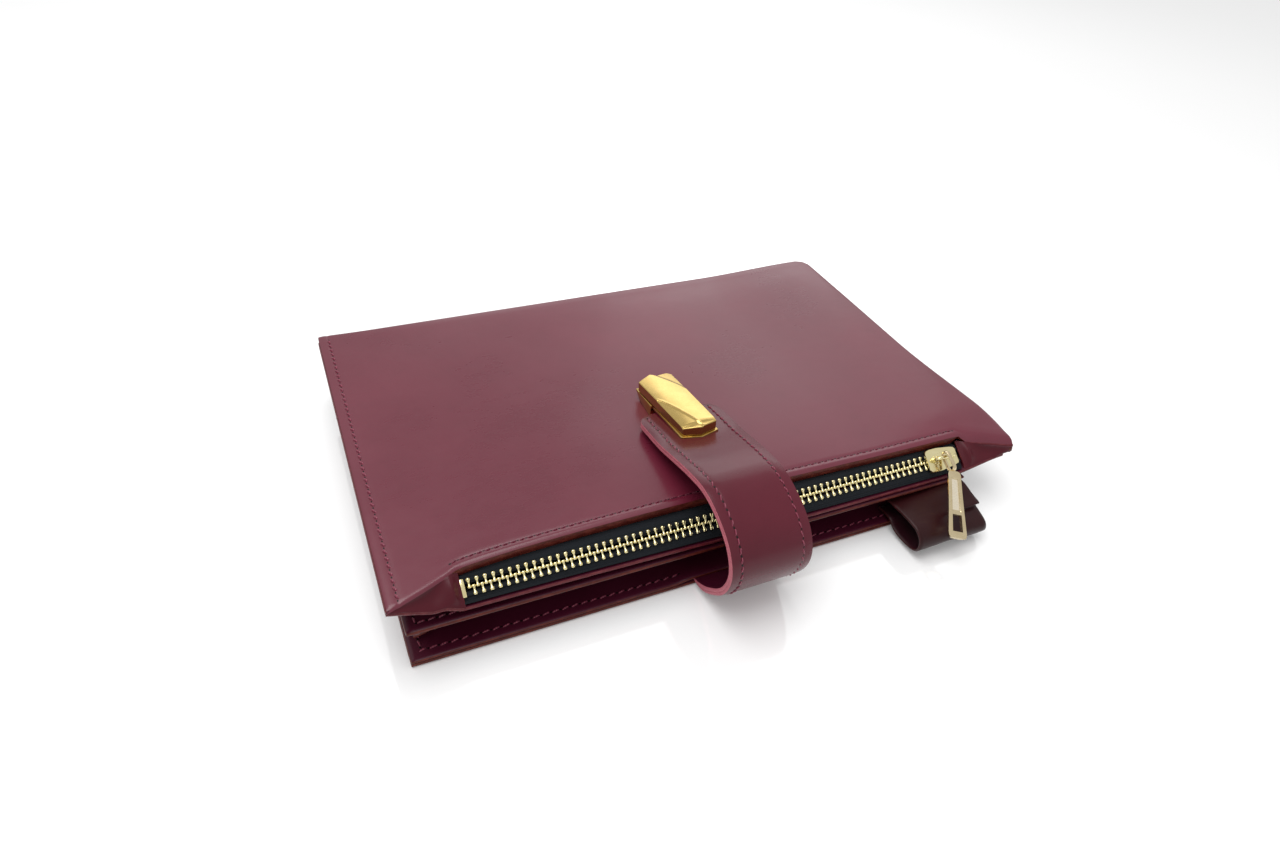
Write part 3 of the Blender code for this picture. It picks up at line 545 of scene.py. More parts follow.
def floor_height(x, y):
    """The lower leather's inner face, raised at the sewn left end and the front right corner."""
    seam = (TOP - LEATHER - 0.05 - FLOOR_TOP) * (1 - smoothed_ramp((x - LEFT) / (ZIP_LEFT - LEFT)))
    lip = 2.0 * smoothstep((x - LEFT - 14) / 6) * (1 - smoothstep((x - ZIP_LEFT) / 160))
    lip = lip * (1 - smoothstep((y - 2) / 8))
    corner = 4.6 * smoothstep((x - ZIP_RIGHT + 8) / (RIGHT - ZIP_RIGHT + 8)) * pinch(y)
    return FLOOR_TOP + seam + lip + corner


def spaced(start, end, step):
    return list(np.linspace(start, end, max(2, int(round(abs(end - start) / step)) + 1)))


TUCK_TURN = 1.15                 # how far the top leather turns down at an end tab, in radians
TUCK_RADII = 1.7, 6.0            # of that turn, at the left and the right tab
PINCHED = 0.52                   # share of the side's height lost at the front right corner


def zip_share(x):
    """1 where the top leather ends in a cut edge over the zip, 0 where it tucks into a tab."""
    return smoothstep((x - ZIP_LEFT + 2.5) / 3) * smoothstep((ZIP_RIGHT + 2.5 - x) / 3)


def top_panel_grid():
    """The top leather as a grid: flat, then round the back and right folds and down."""
    near_left = [0, 0.5, 1.1, 2, 3, 3.7, 4.2, 4.7, 5.5, 7, 9.5, 13, 17, 21]
    xs = [LEFT + d for d in near_left] + spaced(ZIP_LEFT, ZIP_RIGHT, 3.1)
    xs += [ZIP_RIGHT + 4, ZIP_RIGHT + 8]
    fold_start_x, fold_start_y = RIGHT - CORNER_RADIUS, BACK - CORNER_RADIUS
    xs = [x for x in xs if x < fold_start_x - 1] + [fold_start_x]
    near_cut = [0, 0.35, 0.8, 1.3, 1.9, 2.5, 3.1, 3.5, 3.9, 4.3, 4.9, 6, 8, 11]
    shares = spaced(0, 1, 1 / 48)[1:]
    arcs = [1.5, FOLD_FLAT] + [FOLD_FLAT + FOLD_ARC * k / 7 for k in range(1, 8)]
    arcs += [FOLD_FLAT + FOLD_ARC + SKIRT * k / 4 for k in range(1, 5)]
    arcs = np.array(arcs)

    def reach(r):
        """How far out and down the leather has gone after a length r of fold."""
        turn = np.clip((r - FOLD_FLAT) / FOLD_RADIUS, 0, math.pi / 2)
        out = np.minimum(r, FOLD_FLAT) + FOLD_RADIUS * np.sin(turn)
        return out, FOLD_RADIUS * (1 - np.cos(turn)) + np.maximum(r - FOLD_FLAT - FOLD_ARC, 0)

    columns = []
    for x, du in [(x, 0.0) for x in xs] + [(fold_start_x, r) for r in arcs]:
        out, down = reach(du)
        real_x = x + out
        front = front_line(real_x)
        ys = [front + d for d in near_cut]
        ys += [ys[-1] + (fold_start_y - ys[-1]) * s for s in shares]
        line = []
        tuck = 1 - zip_share(real_x)
        radius = TUCK_RADII[int(real_x >= 0)]
        for y in ys:
            height = top_height(real_x, y)
            turn = max(0.0, TUCK_TURN - (y - front) / radius)
            slack = TUCK_TURN - turn - math.sin(TUCK_TURN) + math.sin(turn)
            forward = tuck * slack * radius * (turn > 0)
            drop = tuck * radius * (1 - math.cos(turn))
            line.append((real_x + side_bulge(real_x, y), y - forward,
                         height - math.hypot(drop, down * (1 - PINCHED * pinch(y)))))
        for dv in arcs:
            if du <= 0:
                out_y, down_y = reach(dv)
                depth = TOP - floor_height(x, ys[-1]) + LEATHER
                down_y *= min(1.0, depth / (TOP - PANEL_LOW[2]))
                line.append((x, fold_start_y + out_y, top_height(x, ys[-1]) - down_y))
            else:
                ring = max(du, dv)
                angle = math.pi / 4 * dv / du if du >= dv else math.pi / 2 - math.pi / 4 * du / dv
                wide, drop = reach(ring)
                height = top_height(fold_start_x, fold_start_y)
                line.append((fold_start_x + wide * math.cos(angle),
                             fold_start_y + wide * math.sin(angle), height - drop))
        columns.append(line)
    return np.array(columns)


def make_top_panel():
    build = Build(WINE, WINE_INSIDE_SHADED, EDGE_PAINT)
    grid = top_panel_grid()
    from_edge = np.linalg.norm(grid - grid[:, :1], axis=-1)
    at_cut = (zip_share(grid[:, :1, 0]) * smoothstep((7 - from_edge) / 4))[..., None]
    normals = unit(sheet_normals(grid) * (1 - at_cut) + np.array(UP) * at_cut)
    slab(build, grid, LEATHER + 1.9 * at_cut[..., 0], bulge=0.08, normals=normals)
    build.piece("top_leather", "pouch_top_panel")
    ys = np.linspace(4, BACK - 5, 80)
    x = np.full(len(ys), LEFT + SEAM_INSET)
    rows = Build(THREAD, HOLE)
    stitch_row(rows, np.stack((x, ys, top_height(x, ys)), 1), UP, radius=0.42, slant=0.5, rise=0.24,
               seed=3)
    rows.piece("seam_stitches_left")
    xs = np.linspace(ZIP_LEFT - 1, ZIP_RIGHT + 1, 120)
    y = front_line(xs) + CUT_INSET
    rows = Build(THREAD_DARK, HOLE)
    stitch_row(rows, np.stack((xs, y, top_height(xs, y)), 1), UP, pitch=3.2, radius=0.27,
               slant=0.15, seed=4)
    rows.piece("zip_stitches_upper")


def make_lower_panel():
    """The pouch's lower leather and the black lining cloth on it."""
    front, back = 1.2, BACK - 2.2
    xs = spaced(LEFT, ZIP_LEFT + 6, 1.2) + spaced(ZIP_LEFT + 9, RIGHT - 1.7, 3)
    ys = spaced(front, 14, 1.3) + spaced(17, back, 4)
    x, y = np.meshgrid(xs, ys, indexing="ij")
    # the back right corner is cut back so that it stays inside the top leather's rounded corner
    x = x - 2.8 * smoothstep((x - RIGHT + 30) / 28) * smoothstep((y - back + 10) / 10)
    build = Build(WINE_INSIDE_SHADED, WINE_DEEP_SHADE, LIP_PAINT)
    slab(build, np.stack((x, y, floor_height(x, y)), -1), LEATHER, bulge=0.25)
    build.piece("lower_leather", "pouch_lower_panel")


def make_linings():
    """The pouch's black cloths: one laid on the lower leather, one glued under the board."""
    for name, node, held, on in (
            ("lower_lining", "pouch_lining_lower", "laid", "lower_leather"),
            ("upper_lining", "pouch_lining_upper", "stretched", "pouch_board")):
        low, high = node_box(node)
        x, y = np.meshgrid(spaced(low[0], high[0], 5), spaced(low[1], high[1], 5), indexing="ij")
        crease = 0.05 * np.sin(x / 7 + y / 11)
        height = floor_height(x, y) + 0.75 + crease if held == "laid" else high[2] - 0.05 + 0 * x
        cloth = Build(LINING)
        slab(cloth, np.stack((x, y, height), -1), 0.4, (0, 0, 0), rim=2)
        lining = cloth.piece(name, node, "black_cloth")


def make_end_tab(name, node, outer, inner):
    """The facet from a front corner's ridge down to the lip, with its rolled end at the zip."""
    at_left = inner > outer
    tucked, drop = (0.35, 0.75) if at_left else (0.05, 3.0)
    rows = []
    for share in np.concatenate((np.linspace(0, 0.86, 16), np.linspace(0.88, 1.0, 9))):
        x = outer + (inner - outer) * share
        front = front_line(x)
        bulge = side_bulge(x, front)
        ridge = np.array((x + bulge, front + tucked, top_height(x, front) - drop))
        foot = np.array((x + bulge, 1.0, floor_height(x, 1.2) + 0.1))
        if not at_left:
            foot += np.array((0.9, 0, 0.1)) * (1 - share) ** 2
        hollow = 2.6 * math.sin(math.pi * min(share / 0.8, 1)) * share
        roll = 1.7 * bell(share - 0.88, 0.06)
        line = []
        for t in np.linspace(0, 1, 15):
            depth = hollow * math.sin(math.pi * t ** 0.8)
            depth -= roll * math.sin(math.pi * min(1, t + 0.08))
            inwards = np.array((0, 0.75, -0.66)) * depth
            sag = np.array((0, -0.5 * math.sin(math.pi * t * t), 0))
            line.append(ridge + (foot - ridge) * t + inwards + sag)
        rows.append(line)
    build = Build(WINE_TAB_SHADED, WINE_INSIDE_SHADED, LIP_PAINT)
    slab(build, rows, TAB_THICK, flip=at_left)
    build.piece(name, node)


# ---------------------------------------------------------------- rear, divider, gussets, ear
def strip_grid(xs, profile, raise_by=None):
    """A grid with one row for each x and one column for each (y, z) of a profile."""
    rows = [[(x, y, z + (raise_by(x, y) if raise_by else 0.0)) for y, z in profile] for x in xs]
    return np.array(rows)


def make_rear():
    radius, back = 7.0, REAR_HIGH[1]
    corner = back - radius
    profile = [(y, 0.0) for y in spaced(REAR_LOW[1], corner, 6)]
    profile += [(corner + radius * math.sin(a), radius * (1 - math.cos(a)))
                for a in (math.pi / 2 * k / 9 for k in range(1, 10))]
    profile += [(back, z) for z in spaced(radius + 2, REAR_HIGH[2], 2)]
    xs = spaced(REAR_LOW[0], REAR_HIGH[0], 6)
    build = Build(WINE, WINE_INSIDE_SHADED, EDGE_PAINT)
    slab(build, strip_grid(xs, profile), 1.5, flip=True)
    build.piece("rear_leather", "rear_cover")

    low, high = node_box("rear_lining")
    strap_left, strap_right = ANCHOR_LOW[0] - 1, ANCHOR_HIGH[0] + 1

    def sunk(x, y):
        """The lining comes down on the cover at its sewn edges, and passes over the strap."""
        beside = smoothstep((strap_left - x) / 8) + smoothstep((x - strap_right) / 8)
        at_front = 1 - smoothstep((y - 4) / 10)
        at_left = 1 - smoothstep((x - low[0] - 4) / 10)
        return -1.15 * max(at_front * beside, at_left) - 0.15 * bell(y - low[1] - 4, 0.7)

    ys = spaced(low[1], 16, 1.2) + spaced(19, high[1], 5)
    xs = spaced(low[0], low[0] + 16, 1.6) + spaced(low[0] + 19, high[0], 3.5)
    grid = strip_grid(xs, [(y, high[2]) for y in ys], sunk)
    build = Build(WINE_INSIDE_SHADED, WINE_INSIDE_SHADED, EDGE_PAINT)
    slab(build, grid, 1.0)
    build.piece("rear_lining_leather", "rear_lining")

    rows = Build(THREAD, HOLE)
    x0, y0 = low[0] + 4, low[1] + 4
    side = [(x0, y) for y in np.linspace(150, y0, 40)]
    left, right = ([(x, y0) for x in np.linspace(*ends)] for ends in (
        (x0 + 1, strap_left - 4, 50), (strap_right + 4, high[0] - 4, 40)))
    for seed, line in enumerate((side + left, right)):
        path = [(x, y, high[2] + sunk(x, y) + 0.1) for x, y in line]
        stitch_row(rows, path, UP, pitch=3.8, seed=seed + 8)
    rows.piece("rear_stitches")
    rows = Build(THREAD, HOLE)
    line = [(x, REAR_HIGH[1], REAR_HIGH[2] - 3.5)
            for x in np.linspace(REAR_LOW[0] + 4, REAR_HIGH[0] - 4, 60)]
    stitch_row(rows, line, (0, 1, 0), seed=12)
    rows.piece("spine_stitches")


def make_divider():
    low, high = node_box("divider_panel")
    xs = spaced(low[0], low[0] + 20, 2) + spaced(low[0] + 24, high[0], 4)
    ys = spaced(low[1], 10, 1.5) + spaced(14, high[1], 5)

    def wave(x, y):
        return -0.14 + 0.12 * math.sin(x / 33) * math.sin(y / 29 + 0.6) - 0.12 * bell(y - 4, 0.7)

    build = Build(WINE_INSIDE_SHADED, WINE_DEEP_SHADE, EDGE_PAINT)
    slab(build, strip_grid(xs, [(y, high[2]) for y in ys], wave), 1.5)
    build.piece("divider_leather", "divider_panel")
    rows = Build(THREAD, HOLE)
    line = [(low[0] + 3.4, y) for y in np.linspace(40, 4, 20)]
    line += [(x, 4.0) for x in np.linspace(low[0] + 5, low[0] + 22, 12)]
    stitch_row(rows, [(x, y, high[2] + wave(x, y) + 0.15) for x, y in line], UP, seed=21)
    rows.piece("divider_stitches")


def make_gusset(name, node, inward):
    """A side leather folded in like bellows between the rear lining and the divider."""
    low, high = node_box(node)
    edge, deep = (low[0], high[0]) if inward > 0 else (high[0], low[0])
    middle = (low[2] + high[2]) / 2
    half = (high[2] - low[2]) / 2 - 0.2
    rows = []
    for y in spaced(low[1], high[1], 5):
        breathe = 0.7 * math.sin(y / 21) + 0.5 * math.sin(y / 9 + 1)
        line = []
        for t in np.linspace(-1, 1, 17):
            share = (1 - abs(t)) ** 0.8
            x = edge + (deep - edge) * (share * 0.93) + inward * breathe * share * 0.6
            line.append((x, y, middle + half * t))
        rows.append(line)
    build = Build(WINE_DEEP_SHADE, WINE, EDGE_PAINT)
    slab(build, rows, 1.1, flip=inward < 0)
    build.piece(name, node)


# the ear's (y, z) section at its two ends
EAR_AT_LEFT = ((6, 13.2), (-3, 13.6), (-9, 13.9), (-13, 14.0), (-17, 13.7), (-20.3, 11.6),
               (-21.8, 8.2), (-21.0, 4.8), (-17, 2.2), (-9, 1.7), (-4, 2.9), (-1, 4.6), (6, 4.6))
EAR_AT_RIGHT = ((6, 16.2), (-2, 16.8), (-9.3, 15.1), (-13.8, 14.2), (-12.6, 12.0), (-15.5, 11.2),
                (-20.0, 9.6), (-21.6, 6.9), (-20.6, 4.0), (-17, 1.7), (-8, 1.5), (-3, 3.0),
                (6, 4.4))


def make_ear():
    """The pleated ear: one round lobe at its open left end, two sharper pleats at its right."""
    left, right = spline(EAR_AT_LEFT, 6), spline(EAR_AT_RIGHT, 6)
    start, length = EAR_LOW[0], EAR_HIGH[0] - EAR_LOW[0]
    rows = []
    for x in spaced(start, EAR_HIGH[0], 1.5):
        share = smoothstep((x - start - 4) / (length - 8))
        shape = left * (1 - share) + right * share
        ripple = 0.35 * np.sin(np.linspace(0, 9, len(shape)) + x / 6)
        bow = 1.2 * ((x - start) / length - 0.5) ** 2
        rows.append([(x, y + bow * (y < -5), z + r * (1 if z > 3 else 0.2))
                     for (y, z), r in zip(shape, ripple)])
    # painted shade: the ear's face, back and edge all use darkened copies of the leather and edge
    # paint
    build = Build(WINE_EAR_SHADED, WINE_DEEP_SHADE, EAR_EDGE_SHADED)
    slab(build, rows, 1.2, flip=True)
    build.piece("ear_leather", "right_ear")


make_top_panel()
make_lower_panel()
make_linings()
make_end_tab("left_tab_leather", "left_end_tab", LEFT, ZIP_LEFT + 0.6)
make_end_tab("right_tab_leather", "right_end_tab", RIGHT, ZIP_RIGHT - 0.4)
make_rear()
make_divider()
make_gusset("left_gusset_leather", "left_gusset", 1)
make_gusset("right_gusset_leather", "right_gusset", -1)
make_ear()


# ---------------------------------------------------------------- zip
TEETH_LOW = np.minimum(node_box("zip_teeth_upper")[0], node_box("zip_teeth_lower")[0])
TEETH_HIGH = np.maximum(node_box("zip_teeth_upper")[1], node_box("zip_teeth_lower")[1])
ZIP_MIDDLE = (TEETH_LOW + TEETH_HIGH)[1:] / 2
ZIP_RISE, ZIP_RUN = 8.4, 11.0
ZIP_TILT = math.atan2(ZIP_RISE, ZIP_RUN)
TOOTH_PITCH = 3.0
UP_ZIP = np.array((0.0, math.cos(ZIP_TILT), math.sin(ZIP_TILT)))
OFF_ZIP = np.array((0.0, -math.sin(ZIP_TILT), math.cos(ZIP_TILT)))


def on_zip(x, along, off):
    """A point on the zip's face: x, distance up its slope from the middle line, height off it."""
    return np.array((x, *ZIP_MIDDLE)) + along * UP_ZIP + off * OFF_ZIP


def tooth_rings(x, side):
    """One tooth from its interlocking head to its clamp."""
    # distance along, full width, half height
    shape = ((-0.60, 0.60, 0.42), (-0.42, 1.40, 0.86), (0.10, 1.56, 0.95), (0.52, 1.00, 0.78),
             (0.95, 0.82, 0.70), (1.60, 0.86, 0.72), (2.00, 1.36, 0.98), (2.50, 1.74, 1.22),
             (2.95, 1.62, 1.12), (3.25, 1.10, 0.76), (3.36, 0.50, 0.36))
    rings = []
    for along, wide, high in shape:
        ring = [on_zip(x + 0.5 * wide * math.copysign(abs(c) ** 0.6, c), side * along,
                       high * math.copysign(abs(s) ** 0.6, s)) for c, s in circle(8, 0.5)]
        rings.append(ring if side > 0 else ring[::-1])
    return rings


def make_zip():
    first, last = TEETH_LOW[0] + 1.15, TEETH_HIGH[0] - 0.7
    for row, side in (("upper", 1), ("lower", -1)):
        build = Build(BRASS)
        x = first + (0.0 if side > 0 else TOOTH_PITCH / 2)
        while x < last:
            loft(build, tooth_rings(x, side))
            x += TOOTH_PITCH
        build.piece("teeth_" + row, "zip_teeth_" + row, "pale_brass", sharp=60)
    make_tapes()
    for row, side in (("upper", 1), ("lower", -1)):
        low, high = node_box("zip_end_stop_" + row)
        middle = (low[0] + high[0]) / 2
        build = Build(BRASS)
        rings = []
        for along in (0.9, 1.15, 1.9, 2.7, 3.4, 3.65):
            share = math.sqrt(max(1 - ((along - 2.28) / 1.5) ** 2, 0.12))
            ring = [on_zip(middle + share * c, side * along, 1.15 * share * s)
                    for c, s in circle(12)]
            rings.append(ring if side > 0 else ring[::-1])
        loft(build, rings)
        build.piece("end_stop_" + row, "zip_end_stop_" + row, "pale_brass")
    low, high = node_box("zip_start_stop")
    build = Build(BRASS)
    middle = (low[0] + high[0]) / 2
    outline = ((-0.9, -3.3), (0.9, -3.3), (0.9, 3.3), (-0.9, 3.3))
    prism(build, outline, -1.2, 1.2, lambda u, v, w: on_zip(middle + u, v, w), soft=0.45)
    build.piece("start_stop", "zip_start_stop", "pale_brass")


def make_tapes():
    """The two woven tapes: a corded edge in the chain, then flat out under the leather."""
    xs = spaced(ZIP_LEFT + 0.3, ZIP_RIGHT - 0.3, 2.5)
    for row, side in (("upper", 1), ("lower", -1)):
        grid = []
        for x in xs:
            line = [on_zip(x, side * along, 0.1) for along in (1.5, 2.1, 2.9, 3.7, 4.4)]
            if side > 0:
                cut = front_line(x)
                line += [(x, cut + out, TOP - under)
                         for out, under in ((-0.6, 3.9), (1.0, 3.75), (7.0, 3.6))]
            else:
                lip = floor_height(x, 1.5)
                line.append(on_zip(x, side * 5.1, 0.1))
                line += [(x, y, lip + over) for y, over in (
                    (2.2, 1.3), (1.75, 0.85), (2.0, 0.5), (3.4, 0.4), (8.5, 0.4))]
            grid.append(line)
        build = Build(TAPE)
        slab(build, grid, 0.5, (0, 0, 0), flip=side < 0, rim=2)
        sweep(build, [on_zip(x, side * 2.6, -0.1) for x in xs], 0.80, 10)
        tape = build.piece("tape_" + row, "zip_tape_" + row, "black_cloth")


# ---------------------------------------------------------------- slider and pull
SLIDER_LOW, SLIDER_HIGH = node_box("slider_body")
SLIDER_SHIFT, PULL_SHIFT = 1.6, 1.9      # how far left of their CAD nodes the two are shown
SLIDER_X = (SLIDER_LOW[0] + SLIDER_HIGH[0]) / 2 - SLIDER_SHIFT


def joint_spot(name):
    """Where a joint is, in this script's millimetres."""
    found = next(joint for joint in frame["joints"] if joint["name"] == name)
    return np.array(found["pos_m"]) / MM - ORIGIN


PULL_HINGE = joint_spot("pull_swing") - np.array((PULL_SHIFT, 0, 0))
BAR_HEIGHT = float((PULL_HINGE[1:] - ZIP_MIDDLE) @ OFF_ZIP[1:])


def make_slider():
    """Two crowned plates with turned-in side flanges, a post between them, and the bridge."""

    def place(u, v, w):
        return on_zip(SLIDER_X + u, v, w)

    build = Build(BRASS)
    side = [(-8.0, 3.6), (-7.2, 4.7), (-5.4, 5.1), (-1.5, 5.1), (2.2, 4.6), (5.4, 4.2), (7.3, 3.7),
            (8.0, 2.6)]
    outline = [(u, -v) for u, v in side] + side[::-1]
    for low, high in ((1.4, 2.5), (-2.4, -1.4)):
        prism(build, outline, low, high, place, soft=0.4)
    crown = [(-5.6, 0.0), (-4.4, 1.7), (-1.6, 2.6), (2.0, 2.3), (4.6, 1.4), (5.6, 0.0)]
    dome = [(u, -v) for u, v in crown] + crown[-2:0:-1]
    prism(build, dome, 2.2, 2.75, place, soft=0.25)
    for flank in (1, -1):
        rail = [place(u, flank * (v - 0.28), 1.0) for u, v in side[1:-1]]
        sweep(build, rail, (0.34, 0.85), 8, across=UP_ZIP)
    post = ((1.2, -0.42), (7.2, -0.42), (7.2, 0.42), (1.2, 0.42))
    prism(build, post, -2.0, 2.0, place, soft=0.15)
    build.piece("slider", "slider_body", "pale_brass", "zip_slider", sharp=40)

    build = Build(BRASS)
    foot, bar = 2.7, BAR_HEIGHT
    route = spline(((-5.2, foot), (-5.3, bar - 1.5), (-4.4, bar - 0.15), (-2.4, bar), (1.4, bar),
                    (3.4, bar - 0.15), (4.2, bar - 1.5), (4.1, foot)), 5)
    widths = [(0.74 + 0.55 * max(0.0, 1 - (h - foot) / 2.2), 0.7) for _, h in route]
    sweep(build, [place(u, 0, h) for u, h in route], widths, 10, across=UP_ZIP)
    build.piece("bridge", "slider_bridge", "pale_brass", "zip_slider", sharp=60)


def masked_plate(build, grid, thick, solid, slot_of):
    """A plate on a grid where only some cells are solid, with walls round every opening."""
    grid = np.asarray(grid, float)
    rows, columns = grid.shape[:2]
    normals = sheet_normals(grid)
    under = grid - normals * thick
    index = np.arange(rows * columns).reshape(rows, columns)
    lower = rows * columns
    faces, kinds = [], []

    def filled(i, j):
        return 0 <= i < rows - 1 and 0 <= j < columns - 1 and solid(i, j)

    for i in range(rows - 1):
        for j in range(columns - 1):
            if not solid(i, j):
                continue
            a, b, c, d = index[i, j], index[i + 1, j], index[i + 1, j + 1], index[i, j + 1]
            faces += [(a, b, c, d), (d + lower, c + lower, b + lower, a + lower)]
            kinds += [slot_of(i, j), 0]
            for p, q, row, column in ((a, b, i, j - 1), (b, c, i + 1, j), (c, d, i, j + 1),
                                      (d, a, i - 1, j)):
                if not filled(row, column):
                    faces.append((q, p, p + lower, q + lower))
                    kinds.append(0)
    points = np.concatenate((grid.reshape(-1, 3), under.reshape(-1, 3)))
    used = sorted({int(v) for face in faces for v in face})
    place = {v: k for k, v in enumerate(used)}
    build.add(points[used], [tuple(place[int(v)] for v in face) for face in faces], kinds)


def make_pull():
    """The pull: an oval eye on the bridge, a waisted body with a sunk panel, and an open end."""
    yaw, drop = math.radians(25), math.radians(30)
    eye_length, eye_outer, eye_centre = 4.6, 2.6, 2.05
    fall = np.array(Matrix.Rotation(drop, 3, "X"))
    twist = np.array(Matrix.Rotation(-yaw, 3, "Z"))
    neck = np.array((0, -eye_length - eye_outer, 0))

    def body_place(u, v, w):
        return PULL_HINGE + fall @ (neck + twist @ (np.array((u, -v, w)) - neck))

    build = Build(PULL_METAL, PULL_SUNK)
    turns = [math.pi * k / 10 for k in range(11)]
    ring = [(eye_centre * math.sin(a), eye_centre * math.cos(a)) for a in turns]
    loop = ring + [(-eye_length - y, -z) for y, z in ring]
    path = [PULL_HINGE + fall @ np.array((0, y, z)) for y, z in loop]
    sweep(build, path, (0.92, 0.5), 10, across=(1, 0, 0), closed=True)
    # distance from the hinge and half width there; shares of that half width
    ends = [(7.0, 1.9), (7.5, 2.7), (8.6, 3.0), (10.2, 3.02), (10.8, 3.04), (18, 3.3), (24.4, 3.62),
            (25.2, 3.66), (26.6, 3.75), (34.0, 4.2), (34.4, 4.22), (35.8, 4.1), (36.8, 3.4)]
    stations = [-1.0, -0.9, -0.74, -0.56, -0.54, -0.46, 0.0, 0.46, 0.54, 0.56, 0.74, 0.9, 1.0]
    rows = []
    for v, half in ends:
        line = []
        for share in stations:
            sunk = 0.5 if 10.5 < v < 25 and abs(share) < 0.5 else 0.0
            line.append(body_place(half * share, v, 0.8 - sunk - 0.22 * abs(share) ** 6))
        rows.append(line)
    masked_plate(build, rows, 1.6, lambda i, j: not (i == 8 and 3 <= j <= 8),
                 lambda i, j: int(4 <= i <= 5 and 5 <= j <= 6))
    soften(build.piece("pull", "pull_tab", "pale_brass", "zip_pull", sharp=35), 0.22)


def soften(piece, width, angle=35):
    """Rounds a metal piece's sharper edges."""
    modifier = piece.modifiers.new("edges", "BEVEL")
    modifier.width = width * MM
    modifier.segments = 2
    modifier.limit_method = "ANGLE"
    modifier.angle_limit = math.radians(angle)
    modifier.harden_normals = False


# ---------------------------------------------------------------- strap
# the strap's inner line from its tip to its root: y, and height from the top leather
STRAP_ROUTE = ((63.5, 1.6), (54, 3.2), (40, 5.6), (27, 9.2), (15, 12.4), (3, 14.2), (-8, 11.6),
               (-17.5, 5.5), (-21.6, -3.5), (-18.6, -14), (-10.5, -22.8), (-5, -26.6),
               (-1.4, -28.3), (2.5, -29.0), (9, -29.2))
STRAP_STEPS = 9
STRAP_SPLIT = 6 * STRAP_STEPS + STRAP_STEPS // 2
STRAP_LEFT, STRAP_RIGHT = ANCHOR_LOW[0], ANCHOR_HIGH[0]
STRAP_MIDDLE, STRAP_HALF = (STRAP_LEFT + STRAP_RIGHT) / 2, (STRAP_RIGHT - STRAP_LEFT) / 2
STRAP_CORNER = 7.0
STRAP_SEAM = STRAP_HALF - 4
LAYER = 1.5


def strap_frame():
    """The strap's inner line, its outward direction and its share of full thickness there."""
    route = spline([(y, z + TOP) for y, z in STRAP_ROUTE], STRAP_STEPS)
    heading = unit(np.gradient(route, axis=0))
    out = np.stack((heading[:, 1], -heading[:, 0]), 1)
    root = np.linspace(0, len(STRAP_ROUTE) - 1, len(route))
    taper = 1 - 0.66 * smoothstep((root - 10.6) / 2.2)
    return route, out, taper


def strap_width(route):
    """Half width along the strap, rounded off at the tip's corners."""
    walked = np.concatenate(([0], np.cumsum(np.linalg.norm(np.diff(route, axis=0), axis=1))))
    near = np.clip(STRAP_CORNER - walked, 0, STRAP_CORNER)
    return STRAP_HALF - (STRAP_CORNER - np.sqrt(STRAP_CORNER ** 2 - near ** 2))


def strap_lean(y):
    """How far the strap's right edge leans out of its straight line."""
    return 1.0 - 3.2 * smoothstep((52 - y) / 60)


def strap_grid(offset, shares, crown=0.0):
    """The surface at an offset out from the inner line; shares run across it from -1 to 1."""
    route, out, taper = strap_frame()
    rows = []
    for (y, z), (oy, oz), thin, wide in zip(route, out, taper, strap_width(route)):
        line = []
        for share in shares:
            groove = 0.14 * bell(abs(share) * wide - STRAP_SEAM, 0.7)
            reach = (offset - crown * (0.28 * abs(share) ** 8 + groove)) * thin
            lean = max(share, 0) * strap_lean(y)
            line.append((STRAP_MIDDLE + share * wide + lean, y + oy * reach, z + oz * reach))
        rows.append(line)
    return np.array(rows), taper


def make_strap():
    """Two leathers sewn together, each in an upper and a lower length."""
    half = [0, 0.15, 0.3, 0.45, 0.6, 0.7, 0.74, 0.78, 0.82, 0.86, 0.92, 0.97, 1]
    shares = [-share for share in half[:0:-1]] + half
    outer, taper = strap_grid(2 * LAYER, shares, 1.0)
    inner, _ = strap_grid(LAYER - 0.02, shares)
    route, out, _ = strap_frame()
    for name, part, node in (("upper", slice(0, STRAP_SPLIT + 1), "tongue"),
                             ("lower", slice(STRAP_SPLIT, None), "loop")):
        build = Build(WINE_STRAP, PINK_BACK, PINK)
        slab(build, outer[part], (LAYER * taper[part])[:, None], bulge=0.18)
        made = [build.piece("strap_leather_" + name, "strap_outer_" + node, body=None)]
        build = Build(PINK_BACK, WINE_INSIDE_SHADED, PINK)
        slab(build, inner[part], ((LAYER - 0.05) * taper[part])[:, None], bulge=0.18)
        made.append(build.piece("strap_lining_" + name, "strap_lining_" + node, "raw_leather",
                                None))
        sewn = slice(max(part.start, 3), min(part.stop or len(route), 12 * STRAP_STEPS))
        flat = route[sewn] + out[sewn] * (2 * LAYER - 0.12) * taper[sewn, None]
        rows = Build(THREAD, HOLE)
        for seed, side in enumerate((-1, 1)):
            x = STRAP_MIDDLE + side * STRAP_SEAM
            path = [(x + (side > 0) * strap_lean(y), y, z) for y, z in flat]
            stitch_row(rows, path, [(0, oy, oz) for oy, oz in out[sewn]], slant=0.3 * side,
                       seed=30 + seed)
        made.append(rows.piece("strap_stitches_" + name, body=None))
        for piece in made:
            if name == "upper":
                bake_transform(piece)
            else:
                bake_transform(piece)


# ---------------------------------------------------------------- clasp
BAR_HALF, BAR_LENGTH = 8.3, 45.0


